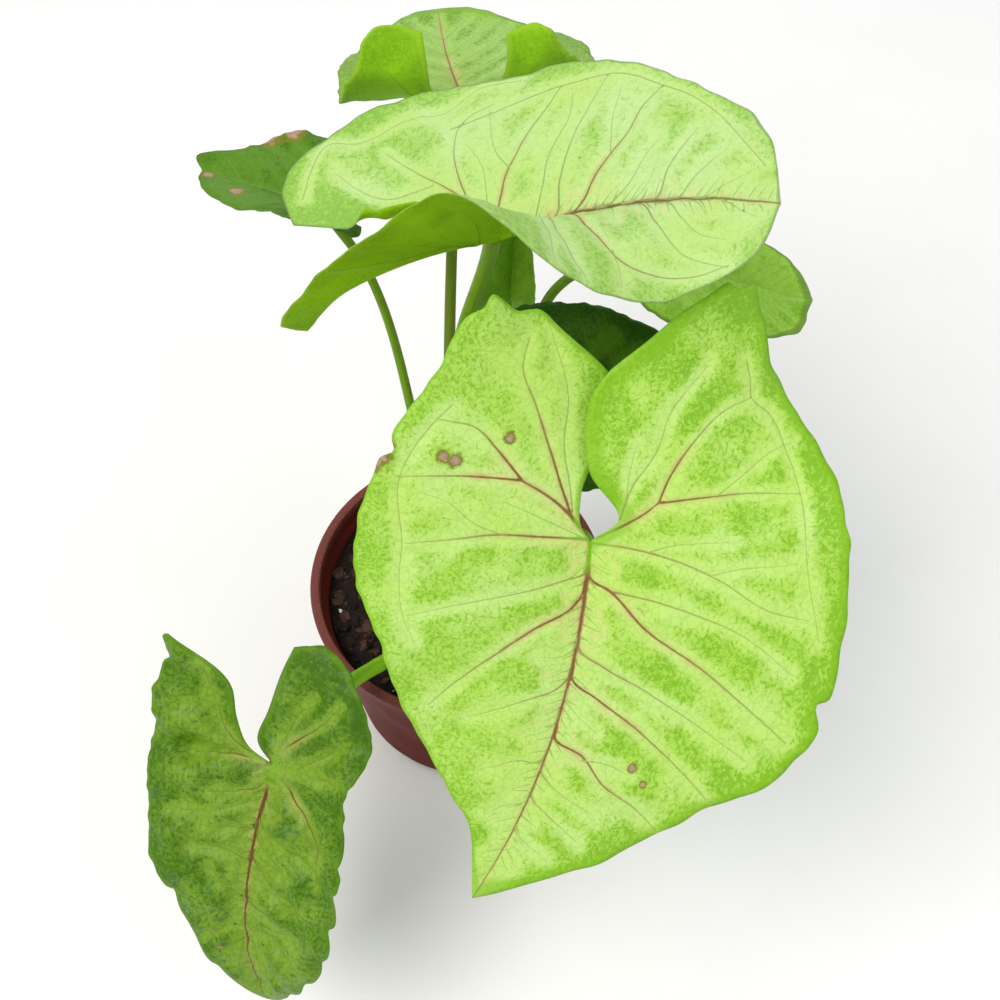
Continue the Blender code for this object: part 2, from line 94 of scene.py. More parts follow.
def linear(colour: Colour) -> tuple[float, float, float, float]:
    """Turn a screen colour of 0 to 255 into the linear colour, with full alpha, that shaders use."""
    parts = [c / 255.0 for c in colour]
    return (*(p / 12.92 if p <= 0.04045 else ((p + 0.055) / 1.055) ** 2.4 for p in parts), 1.0)


def toned(colour: Colour, factors: float | tuple[float, float, float], extra: float = 0.0) -> Colour:
    """Multiply a screen colour's channels by one factor or by one each, and add extra to each."""
    each = factors if isinstance(factors, tuple) else (factors,) * 3
    return tuple(min(255, round(c * k + extra)) for c, k in zip(colour, each))


def ease(x: np.ndarray) -> np.ndarray:
    """Blend from 0 to 1 with flat ends."""
    x = np.clip(x, 0.0, 1.0)
    return x * x * (3 - 2 * x)


def joined(at: np.ndarray, places: np.ndarray, values: np.ndarray, rates: np.ndarray) -> np.ndarray:
    """Follow the smooth curve through given values with given slopes.

    Args:
        at: Places asked for.
        places: Places of the given values, rising.
        values: The values there, one number or one row each.
        rates: The slopes there.

    Returns:
        The values at the places asked for.
    """
    i = np.clip(np.searchsorted(places, at, side="right") - 1, 0, len(places) - 2)
    span = places[i + 1] - places[i]
    u = (at - places[i]) / span
    if values.ndim == 2:
        span, u = span[:, None], u[:, None]
    start = (2 * u**3 - 3 * u**2 + 1) * values[i] + (u**3 - 2 * u**2 + u) * span * rates[i]
    return start + (3 * u**2 - 2 * u**3) * values[i + 1] + (u**3 - u**2) * span * rates[i + 1]


def smooth_through(at: np.ndarray, places: Sequence[float], values: Sequence) -> np.ndarray:
    """Follow the smooth curve through given values, with slopes taken from their neighbours."""
    places, values = np.asarray(places, float), np.asarray(values, float)
    return joined(at, places, values, np.gradient(values, places, axis=0))


def marks_along(points: np.ndarray) -> np.ndarray:
    """Length along a polyline up to each of its points."""
    return np.concatenate(([0], np.cumsum(np.linalg.norm(np.diff(points, axis=0), axis=1))))


def spaced(curve: np.ndarray, step: float) -> np.ndarray:
    """Set points along a polyline, evenly and with both ends kept.

    Args:
        curve: The polyline's points, one row each.
        step: The spacing to come close to.

    Returns:
        The new points.
    """
    lengths = marks_along(curve)
    at = np.linspace(0, lengths[-1], max(2, round(lengths[-1] / step)) + 1)
    return np.stack([np.interp(at, lengths, curve[:, k]) for k in range(curve.shape[1])], -1)


def inside_loop(points: np.ndarray, loop: np.ndarray) -> np.ndarray:
    """Find the points that lie inside a closed flat outline.

    Args:
        points: The points, one row each.
        loop: The outline's corners in order.

    Returns:
        True for each point inside.
    """
    inside = np.zeros(len(points), bool)
    for (x0, y0), (x1, y1) in zip(loop, np.roll(loop, -1, axis=0)):
        if y0 != y1:
            crossing = (y0 > points[:, 1]) != (y1 > points[:, 1])
            inside ^= crossing & (points[:, 0] < x0 + (points[:, 1] - y0) / (y1 - y0) * (x1 - x0))
    return inside


def segment_gaps(points: np.ndarray, starts: np.ndarray, ends: np.ndarray) -> np.ndarray:
    """Find the distances from flat points to line segments.

    Args:
        points: The points, one row each.
        starts: Where the segments start.
        ends: Where they end.

    Returns:
        The distances, one row for each point and one column for each segment.
    """
    run = ends - starts
    square = np.maximum((run**2).sum(1), TINY**2)
    offset = points[:, None, :] - starts[None]
    share = np.clip((offset * run[None]).sum(2) / square[None], 0, 1)
    return np.linalg.norm(offset - share[..., None] * run[None], axis=2)


def in_parts(points: np.ndarray, size: int = 1500) -> list[np.ndarray]:
    """Split a long list of points into parts, to keep the arrays made from them small."""
    return [points[k:k + size] for k in range(0, len(points), size)]


@dataclass(frozen=True)
class Vein:
    """One vein on a half blade, in flat coordinates: along the midrib and out from it.

    width is the vein's full width at its start, and fade the share of its colour that is gone at its end.
    """

    path: tuple[Point, ...]
    width: float = 0.5
    fade: float = 0.75


@dataclass(frozen=True)
class Scar:
    """A damaged spot: where it is on the flat half blade, and how large."""

    spot: Point
    radius: float


@dataclass(frozen=True)
class Nick:
    """A bite in the margin: its share of the way round, its depth, and its breadth as such a share."""

    share: float
    depth: float
    breadth: float


@dataclass(frozen=True)
class Half:
    """One side of a blade, spread flat: how far the edge lies from the junction, and how it folds.

    reach gives the radius at the ten directions of SHARE, from the tip round to the end of the lobe.
    end is the direction of the lobe end, and sinus the edge back to the junction as (along, across).
    fold and curl are each given at the lobe end, at the junction and at the tip.
    lift raises the whole lobe. veins, scars and nicks are the marks on this half.
    specks says how thickly it is specked, at the same three places as fold. band is the width of the
    plain green band along its margin. cuff is the radius of a sinus edge that rolls up, or 0.
    """

    reach: tuple[float, ...]
    end: float
    sinus: tuple[Point, ...]
    fold: tuple[float, float, float]
    curl: tuple[float, float, float]
    lift: float = 0.0
    veins: tuple[Vein, ...] = ()
    scars: tuple[Scar, ...] = ()
    nicks: tuple[Nick, ...] = ()
    specks: tuple[float, float, float] = (1.0, 1.0, 1.0)
    band: float = 1.0
    cuff: float = 0.0


@dataclass(frozen=True)
class LeafFinish:
    """Colours and pattern of a blade.

    pale is the ground, mid its soft green clouds and deep the fine specks. vein colours the main
    veins, faint the thin ones, rim the margin and under the lower face, whose saturated green is partly
    the face's own and partly painted light shining through the blade. cover says how much is clouded
    and specked, grain how broad the specks are, specks how strong, and quilt how far the blade puffs up
    between its veins. net, blush and dots are the strengths of the fine net, of the warm tint beside the
    main veins and of stray dark dots. glow is that tint far from a vein and halo close to it. collar
    colours the junction, bruise the ring round a scar and scab the scar itself, dark and pale.
    """

    pale: Colour
    mid: Colour
    deep: Colour
    vein: Colour
    faint: Colour
    rim: Colour
    under: Colour
    cover: float
    grain: float = 1.0
    quilt: float = 0.45
    roughness: float = 0.46
    net: float = 0.5
    blush: float = 0.6
    dots: float = 0.0
    specks: float = 0.8
    glow: Colour = (214, 196, 138)
    halo: Colour = (184, 154, 104)
    dot: Colour = (70, 84, 40)
    collar: Colour = (112, 170, 10)
    bruise: Colour = (120, 120, 40)
    scab: tuple[Colour, Colour] = ((120, 82, 56), (198, 176, 150))


@dataclass(frozen=True)
class PotFinish:
    """Colours of the pot: its plastic, clouds and turned rings in it, and its paler rim, part dust and part
    painted sheen from the light on top.

    The rim's colour comes in between the heights rim_from and rim_to.
    """

    plastic: Colour = (100, 36, 28)
    cloud: Colour = (86, 28, 22)
    ring: Colour = (110, 44, 38)
    # Paler colour of the rim: part dust, part painted sheen from the light falling on top.
    rim: Colour = (122, 68, 64)
    dust: Colour = (176, 136, 128)
    rim_from: float = 81.0
    rim_to: float = 85.0


@dataclass(frozen=True)
class CrumbFinish:
    """Look of loose stuff: its material's name, two colours, roughness and the breadth of its lumps."""

    name: str
    dark: Colour
    light: Colour
    rough: float
    breadth: float


@dataclass(frozen=True)
class Leaf:
    """One leaf: where its blade joins the stalk, how the blade lies and how the stalk rises.

    heading, dip and roll turn the blade at its junction, whose place on the plant is given. sweep and
    droop bend its axis sideways and down towards the tip, and lobe_drop bends the lobes down over
    lobe_length. wave is the height of the waves in its margin and their number. foot is where the stalk
    leaves the mix, course what it passes on its way, and seat how far its end lies from the junction,
    along and across. blunt is how far the very tip is rounded off.
    """

    name: str
    junction: Place
    heading: float
    dip: float
    roll: float
    sweep: float
    droop: float
    lobe_drop: float
    lobe_length: float
    left: Half
    right: Half
    wave: tuple[float, float]
    foot: Point
    course: tuple[Place, ...]
    foot_radius: float
    top_radius: float
    seat: Point
    finish: LeafFinish
    stalk: Colour
    seed: int
    midrib_width: float = 1.0
    blunt: float = 0.0


PALE_FRONT = LeafFinish(pale=(184, 219, 122), mid=(156, 202, 68), deep=(110, 168, 10), vein=(124, 84, 46),
                        faint=(130, 132, 72), rim=(122, 178, 16), under=(120, 168, 2), cover=0.8, specks=0.72)
PALE_UPPER = LeafFinish(pale=(184, 214, 142), mid=(150, 194, 84), deep=(102, 156, 44), vein=(102, 88, 44),
                        faint=(116, 122, 74), rim=(118, 144, 80), under=(114, 158, 0), cover=0.54,
                        quilt=0.6, net=0.25, blush=0.75, dots=1.0, specks=0.5)
MID_BACK = LeafFinish(pale=(154, 194, 98), mid=(126, 170, 58), deep=(98, 144, 22), vein=(140, 102, 66),
                      faint=(138, 164, 90), rim=(116, 164, 44), under=(118, 166, 26), cover=0.7, quilt=0.7)
BLUE_GREEN = LeafFinish(pale=(92, 138, 34), mid=(74, 118, 14), deep=(62, 102, 2), vein=(112, 150, 62),
                        faint=(98, 142, 44), rim=(80, 124, 20), under=(84, 128, 6), cover=0.6, blush=0.0)
FRESH = LeafFinish(pale=(164, 214, 78), mid=(140, 194, 40), deep=(114, 170, 18), vein=(160, 200, 98),
                   faint=(144, 186, 78), rim=(100, 128, 56), under=(90, 140, 8), cover=0.62, blush=0.0,
                   quilt=1.0)
# Painted shade: this leaf's colours are darkened for the shade it lies in, under the upper and front leaves.
SHADED = LeafFinish(pale=(66, 106, 4), mid=(44, 80, 0), deep=(30, 60, 0), vein=(58, 96, 4),
                    faint=(50, 88, 2), rim=(50, 90, 2), under=(60, 98, 2), cover=0.9, blush=0.0)
HALF_FURLED = LeafFinish(pale=(126, 176, 46), mid=(104, 154, 18), deep=(86, 136, 4), vein=(124, 168, 44),
                         faint=(110, 158, 30), rim=(120, 168, 30), under=(98, 146, 8), cover=0.5, blush=0.0)
QUILTED = LeafFinish(pale=(122, 158, 46), mid=(88, 130, 16), deep=(54, 98, 0), vein=(100, 54, 22),
                     faint=(104, 126, 36), rim=(94, 136, 16), under=(80, 126, 4), cover=0.9, quilt=2.4,
                     grain=1.15, net=0.8, blush=0.3)

SOIL = CrumbFinish("potting_mix", (12, 7, 5), (36, 22, 15), 0.95, 2.2)
BARK = CrumbFinish("bark_chips", (28, 15, 10), (74, 47, 33), 0.8, 2.0)
PERLITE = CrumbFinish("perlite", (214, 210, 200), (246, 244, 238), 0.9, 0.8)

SMALL_NOTCH = ((-3, 3), (-6, 6), (-9, 8))
SHADED_NOTCH = ((-4, 2), (-8, 5), (-13, 7))
YOUNG_HALF = Half((52, 42, 31, 23, 18, 15, 14, 14, 14, 11), 150, ((-2, 1.5), (-4, 3), (-6, 4)),
                  (40, 45, 40), (20, 30, 20))

FRONT_LEFT_VEINS = (
    Vein(((0.5, 1), (1, 8), (3, 20), (7, 33), (12, 45), (13, 55)), 0.6),
    Vein(((2, 14), (0, 20), (-1, 26), (-2, 34)), 0.4, 0.9),
    Vein(((6, 30), (4, 37), (3, 44), (2, 50)), 0.35, 1.0),
    Vein(((9, 0.5), (12, 6), (20, 16), (26, 30), (34, 47), (38, 56)), 0.85, 0.7),
    Vein(((12, 6.5), (13, 16), (15, 28), (18, 40), (24, 53)), 0.55, 0.85),
    Vein(((27, 0.5), (31, 8), (34, 18), (38, 30), (44, 48)), 0.6, 0.9),
    Vein(((35, 0.5), (39, 8), (43, 18), (49, 31), (55, 43)), 0.75),
    Vein(((41, 0.5), (44, 4), (47, 10)), 0.35, 1.0),
    Vein(((51, 0.5), (54, 9), (59, 16), (62, 26), (66, 35)), 0.75),
    Vein(((55, 9), (54, 14), (55, 22)), 0.4, 0.9),
    Vein(((61, 0.5), (64, 5), (67, 17)), 0.45, 0.95),
    Vein(((68, 0.5), (71, 6), (75, 17)), 0.5, 0.9),
    Vein(((78, 0.5), (80, 4), (82, 11)), 0.35, 0.9),
    Vein(((-0.5, 1), (-4.5, 8), (-8, 13), (-11, 16)), 1.0, 0.25),
    Vein(((-11, 16), (-18, 18), (-26, 22), (-35, 30), (-38, 37)), 0.72, 0.85),
    Vein(((-11, 16.5), (-13, 26), (-15, 36), (-16, 49)), 0.72, 0.8),
    Vein(((-14, 30), (-19, 35), (-26, 43), (-28, 48)), 0.4, 0.95),
    Vein(((-6, 7), (-14, 9), (-24, 14), (-34, 16.5), (-46, 25)), 0.5, 0.8),
    Vein(((-11, 8), (-16, 8), (-26, 9)), 0.35, 1.0),
    Vein(((-47, 35), (-42, 36.5), (-38, 37), (-34, 42), (-26, 46), (-14, 50), (4, 53.5),
          (17, 58.5)), 0.42, 0.5),
)
FRONT_RIGHT_VEINS = (
    Vein(((-1, 1), (-6, 5), (-11, 11), (-15, 18)), 1.2, 0.2),
    Vein(((-15, 18), (-22, 24), (-28, 30), (-30, 39)), 0.9),
    Vein(((-15.2, 18.5), (-16, 30), (-16, 49)), 0.75),
    Vein(((-5, 4.5), (-12, 7.5), (-24, 12), (-34, 16), (-44, 20), (-51, 19)), 0.9, 0.7),
    Vein(((-8, 5), (-14, 6), (-23, 8), (-36, 8), (-53, 14)), 0.5, 0.85),
    Vein(((-0.5, 1), (-1, 12), (-1.5, 24), (0, 37), (1, 46)), 0.85),
    Vein(((-1.4, 22), (-4, 29), (-10, 37), (-12, 43)), 0.4, 0.9),
    Vein(((-1, 2), (-4, 9), (-8, 18), (-10, 23)), 0.45, 0.8),
    Vein(((8, 0.5), (10, 5), (14, 16), (18, 29), (24, 44)), 0.55, 0.85),
    Vein(((13, 0.5), (16, 2), (24, 12), (32, 20), (42, 28), (51, 33)), 0.95, 0.7),
    Vein(((27.5, 0.5), (30, 3), (31, 9)), 0.4, 0.9),
    Vein(((35.5, 0.5), (38, 2), (44, 11), (52, 23)), 0.6, 0.8),
    Vein(((47.5, 0.5), (50, 2), (53, 7)), 0.4, 0.9),
    Vein(((58, 0.5), (60, 7), (64, 13)), 0.5, 0.85),
    Vein(((70, 0.5), (72, 4), (77, 9)), 0.4, 0.9),
    Vein(((-34, 36), (-27, 42), (-16, 48), (1, 47), (12, 47), (24, 45), (32, 41)), 0.4, 0.4),
)
UPPER_LEFT_VEINS = (
    Vein(((1, 1), (4, 8), (8, 17), (14, 26), (22, 37)), 0.66, 0.6),
    Vein(((-1, 3), (-2, 12), (-3, 22), (-2, 32), (2, 39), (8, 40)), 0.65, 0.7),
    Vein(((-2, 14), (-8, 22), (-16, 32), (-20, 38)), 0.6, 0.7),
    Vein(((-11, 23), (-24, 25), (-30, 31), (-35, 39)), 0.45, 0.8),
    Vein(((9, 18), (7, 23), (7, 39)), 0.35, 0.9),
    Vein(((2, 10), (3, 22), (1, 31)), 0.35, 0.9),
    Vein(((11, 0.5), (15, 8), (18, 18), (23, 27), (24, 34)), 0.5, 0.8),
    Vein(((17, 0.5), (20, 11), (25, 24), (31, 36)), 0.55, 0.8),
    Vein(((22, 0.5), (29, 10), (36, 20), (39, 27), (42, 31)), 0.66, 0.5),
    Vein(((32, 14), (32, 22), (34, 33)), 0.35, 0.9),
    Vein(((31, 0.5), (36, 4.5), (40, 12), (43, 16)), 0.45, 0.9),
    Vein(((37.5, 0.5), (41, 4), (43, 10)), 0.35, 1.0),
    Vein(((43, 0.5), (46, 8), (51, 18)), 0.55, 0.8),
    Vein(((49, 0.5), (52, 5), (59, 12)), 0.45, 0.9),
    Vein(((56, 0.5), (60, 3), (66, 7)), 0.35, 1.0),
    Vein(((-2, 38), (12, 37), (24, 37), (34, 36), (42, 31), (48, 27), (55, 21), (62, 14),
          (69, 8)), 0.45, 0.3),
    Vein(((-45, 34), (-41, 42), (-35, 48), (-26, 45), (-12, 46.5), (-1, 44), (5, 47), (14, 44)), 0.4, 0.4),
)
UPPER_RIGHT_VEINS = (
    Vein(((9, 0.5), (16, 12), (24, 28), (30, 40)), 0.5, 0.8),
    Vein(((14, 0.5), (22, 18), (29, 30), (36, 36)), 0.65, 0.7),
    Vein(((22, 1), (32, 17), (42, 23.5), (52, 23), (60, 20.5), (68, 16)), 0.68, 0.6),
    Vein(((39, 21.5), (42, 26), (44, 31)), 0.35, 0.9),
    Vein(((31, 0.5), (36, 10)), 0.35, 0.9),
    Vein(((39, 0.5), (46, 8), (56, 16), (68, 16.5)), 0.55, 0.8),
    Vein(((46, 0.5), (52, 6), (57, 9.5), (65, 10)), 0.45, 0.9),
    Vein(((53, 0.5), (58, 4.5)), 0.35, 0.9),
    Vein(((61, 0.5), (66, 2.5), (71, 4)), 0.4, 0.9),
    Vein(((-1, 1), (-8, 12), (-20, 20), (-32, 32)), 0.8, 0.6),
    Vein(((-2, 3), (2, 16), (4, 34)), 0.5, 0.8),
    Vein(((-8, 12), (-14, 26), (-22, 40)), 0.5, 0.8),
    Vein(((-3, 5), (-6, 18), (-4, 36)), 0.4, 0.9),
)
LOWER_LEFT_VEINS = (
    Vein(((0.5, 1), (3, 3), (8, 12), (16, 19), (30, 23)), 0.75, 0.6),
    Vein(((0, 1.5), (-1, 6), (-5, 10), (-12, 17)), 0.6),
    Vein(((-1, 3), (-2, 10), (-4, 21)), 0.4, 0.9),
    Vein(((-1, 0.5), (-5, 0), (-14, 1.5), (-24, 6)), 0.5, 0.8),
    Vein(((-5, 1), (-8, 3), (-17, 10), (-27, 15)), 0.7, 0.8),
    Vein(((16, 0.5), (20, 2.5), (22, 9), (25, 20)), 0.6, 0.9),
    Vein(((23, 0.5), (28, 6), (31, 12)), 0.5, 0.9),
    Vein(((30, 0.5), (36, 7), (43, 17)), 0.6, 0.9),
    Vein(((44, 0.5), (48, 7), (53, 17)), 0.6, 0.9),
    Vein(((53, 0.5), (55, 8), (61, 15)), 0.5, 0.9),
    Vein(((66, 0.5), (69, 5), (74, 9)), 0.4, 0.9),
)
LOWER_RIGHT_VEINS = (
    Vein(((4, 0.5), (8, 2), (11, 7), (14, 16)), 0.65, 0.7),
    Vein(((-0.5, 1), (0, 6), (2, 14), (5, 24)), 0.7, 0.7),
    Vein(((-1, 2), (-2, 9), (-6, 17), (-13, 22), (-24, 28)), 0.6, 0.8),
    Vein(((21, 0.5), (22, 5), (24, 16)), 0.55, 0.8),
    Vein(((31, 0.5), (30, 6), (31, 18)), 0.55, 0.8),
    Vein(((44, 0.5), (42, 6), (36, 12)), 0.5, 0.9),
    Vein(((54, 0.5), (56, 6), (60, 12)), 0.45, 0.9),
    Vein(((12, 1), (15, 6), (19, 14), (22, 26)), 0.4, 0.95),
)

LEAVES = (
    Leaf("front", (36.9, -44.0, 188.9), heading=-93, dip=-39, roll=-9, sweep=-29, droop=8,
         lobe_drop=-24, lobe_length=60,
         left=Half((100, 91, 82, 73, 73, 64, 61, 62, 72, 55), 168, ((-5.5, 6.5), (-17.5, -1.5), (-39, -2.5)),
                   (-3, 15, 1), (-21, 2, -4), 3.0,
                   veins=FRONT_LEFT_VEINS,
                   scars=(Scar((53, 22), 1.0), Scar((56, 26), 0.8)),
                   nicks=(Nick(0.382, 3.4, 0.010), Nick(0.33, 1.2, 0.014), Nick(0.908, -1.6, 0.010),
                          Nick(0.926, 1.0, 0.007), Nick(0.943, -1.8, 0.009), Nick(0.88, 0.8, 0.012)),
                   specks=(1.45, 1.25, 1.1), band=2.4),
         right=Half((100, 85, 76, 68, 60, 59, 57, 58, 66, 58), 165, ((-3.5, 2.5), (-11.5, 3), (-34, -6)),
                    (7, 8, 0), (-3, -7, -5), -1.0,
                    veins=FRONT_RIGHT_VEINS,
                    scars=(Scar((-21, 38), 1.3), Scar((-20, 35), 1.5), Scar((-26, 22), 1.2),
                           Scar((-22, 54), 3.4)),
                    nicks=(Nick(0.69, 2.2, 0.011), Nick(0.94, -3.2, 0.011), Nick(0.962, 1.2, 0.009),
                           Nick(0.99, -1.0, 0.009)),
                    specks=(0.6, 0.9, 0.75), band=0.8),
         wave=(1.3, 3.5), foot=(6, -6), course=((20, -22, 132),), foot_radius=2.3, top_radius=1.8,
         seat=(2.4, 0.0), finish=PALE_FRONT, stalk=(118, 172, 2), seed=1, midrib_width=1.5),
    Leaf("upper", (12.0, 21.2, 225.5), heading=10, dip=25, roll=10, sweep=-44, droop=-16,
         lobe_drop=-4, lobe_length=62,
         left=Half((78, 74.2, 68, 58, 52, 48, 55, 61, 64, 56), 151,
                   ((-4, 6), (-10, 10), (-24, 11.5), (-37, 21)), (14, 4, 7), (-12, -13, -18),
                   veins=UPPER_LEFT_VEINS,
                   specks=(2.4, 1.1, 1.3), band=0.35, cuff=5.0),
         right=Half((78, 77.3, 68, 56, 52, 48, 45, 51, 58, 56), 186, ((-4.5, 4), (-16, 10.5), (-35.5, 12.5)),
                    (73, 76, -2), (-5, -5, -18),
                    veins=UPPER_RIGHT_VEINS,
                    specks=(1.4, 1.1, 1.0), band=0.35),
         wave=(0.9, 3), foot=(0, 0), course=((1, 8, 140), (4, 16, 194)), foot_radius=2.4, top_radius=1.9,
         seat=(1.0, 2.0), finish=PALE_UPPER, stalk=(108, 148, 4), seed=2, midrib_width=2.3, blunt=2.4),
    Leaf("back", (3.5, 97.8, 206.5), heading=103, dip=-17, roll=3, sweep=-5, droop=-24,
         lobe_drop=-128, lobe_length=44,
         left=Half((54, 53, 50, 46, 41, 37, 38, 43, 48, 40), 160, ((-7, 4), (-16, 11), (-28, 13)),
                   (8, 12, 5), (4, -18, -8)),
         right=Half((54, 54, 53, 51, 48, 43, 38, 38, 42, 36), 164, ((-7, 3), (-16, 8), (-27, 10)),
                    (10, 14, 5), (6, -16, -8)),
         wave=(1.2, 3), foot=(-3, 8), course=((-2, 47, 138), (0, 78, 177)), foot_radius=2.2, top_radius=1.7,
         seat=(2.3, 0.0), finish=MID_BACK, stalk=(106, 130, 22), seed=3, midrib_width=1.1),
    Leaf("left_back", (-33.2, 57.9, 200.9), heading=166, dip=10, roll=5, sweep=3, droop=0,
         lobe_drop=0, lobe_length=25,
         left=Half((38, 38, 36, 29, 23, 21, 20, 19, 18, 14), 140, SMALL_NOTCH,
                   (20, 30, 8), (-10, -7, -7), scars=(Scar((26, 6), 1.8), Scar((36, 1.5), 1.4))),
         right=Half((38, 41, 35, 30, 28, 24, 22, 20, 18, 14), 140, SMALL_NOTCH,
                    (10, 16, 12), (-10, -9, -7), scars=(Scar((24, 17.5), 2.6), Scar((18, 21), 2.8))),
         wave=(0.8, 3), foot=(-8, 3), course=((-13, 30, 138), (-26, 52, 186)),
         foot_radius=1.9, top_radius=1.3, seat=(1.9, 0.0), finish=BLUE_GREEN, stalk=(104, 144, 2),
         seed=4, midrib_width=0.9),
    Leaf("right_back", (58.8, 47.2, 192.0), heading=-13, dip=-8, roll=3, sweep=2, droop=3,
         lobe_drop=0, lobe_length=30,
         left=Half((47, 45, 41, 34, 29, 25, 23, 22, 20, 16), 140, SMALL_NOTCH,
                   (10, 9, 8), (-10, -10, -10)),
         right=Half((47, 46, 46, 39, 31, 27, 23, 21, 20, 16), 140, SMALL_NOTCH,
                    (20, 16, 3), (-10, -10, -10), nicks=(Nick(0.2, 1.2, 0.012),)),
         wave=(1.0, 3), foot=(8, 8), course=((20, 46, 130), (32, 62, 162), (52, 55, 184)), foot_radius=2.1,
         top_radius=1.5, seat=(2.1, 0.0), finish=FRESH, stalk=(112, 162, 6), seed=5, midrib_width=1.0),
    Leaf("shaded", (30.0, 27.0, 152.0), heading=0, dip=0, roll=20, sweep=0, droop=10,
         lobe_drop=0, lobe_length=30,
         left=Half((68, 62, 52, 41, 34, 31, 30, 29, 27, 20), 156, SHADED_NOTCH,
                   (8, 8, 4), (-8, -8, -8)),
         right=Half((68, 61, 50, 40, 34, 31, 30, 29, 27, 20), 156, SHADED_NOTCH,
                    (8, 8, 4), (-8, -8, -8)),
         wave=(1.2, 3), foot=(9, 1), course=((19, 14, 120),), foot_radius=2.0, top_radius=1.6,
         seat=(2.2, 0.0), finish=SHADED, stalk=(84, 126, 8), seed=6, midrib_width=1.0),
    Leaf("young", (18.0, 76.0, 141.0), heading=80, dip=74, roll=0, sweep=0, droop=-20,
         lobe_drop=0, lobe_length=16,
         left=YOUNG_HALF, right=YOUNG_HALF,
         wave=(0.0, 3), foot=(3, 14), course=((13, 60, 116),), foot_radius=1.8, top_radius=1.3,
         seat=(1.9, 0.0), finish=HALF_FURLED, stalk=(104, 152, 18), seed=7, midrib_width=0.8),
    Leaf("lower", (-50.4, -76.3, 116.3), heading=-115, dip=-39, roll=-2, sweep=20, droop=49,
         lobe_drop=-11, lobe_length=45,
         left=Half((94, 84, 72, 50, 33, 25, 32, 38, 40, 36), 187, ((-4, -7.5), (-14, -7), (-28, -6)),
                   (10, 14, 8), (-18, -12, -15),
                   veins=LOWER_LEFT_VEINS,
                   nicks=(Nick(0.05, 1.4, 0.008), Nick(0.085, 2.0, 0.010), Nick(0.13, 1.6, 0.008),
                          Nick(0.175, 2.2, 0.010), Nick(0.24, 1.8, 0.010), Nick(0.3, 1.4, 0.010)),
                   specks=(2.2, 1.0, 0.6)),
         right=Half((94, 79, 65, 52, 45, 38, 37, 41, 44, 48), 128, ((-3.5, 9), (-10.5, 14), (-19, 17.5)),
                    (23, 13, 13), (-13, -20, -15),
                    veins=LOWER_RIGHT_VEINS,
                    scars=(Scar((62, 7), 0.9),),
                    nicks=(Nick(0.06, 1.2, 0.010), Nick(0.2, 1.0, 0.012), Nick(0.985, -2.0, 0.014),
                           Nick(0.93, 0.9, 0.016), Nick(0.62, -0.8, 0.02)),
                    specks=(0.9, 0.9, 1.1)),
         wave=(1.5, 4), foot=(-6, -7), course=((-20, -31, 91), (-32, -43, 98)), foot_radius=2.6,
         # Painted light: the lower stalk's green is brightened to make up for the shade that the leaves above
         # cast on it.
         top_radius=2.2, seat=(2.8, 0.0), finish=QUILTED, stalk=(130, 188, 0), seed=8, midrib_width=1.0),
)


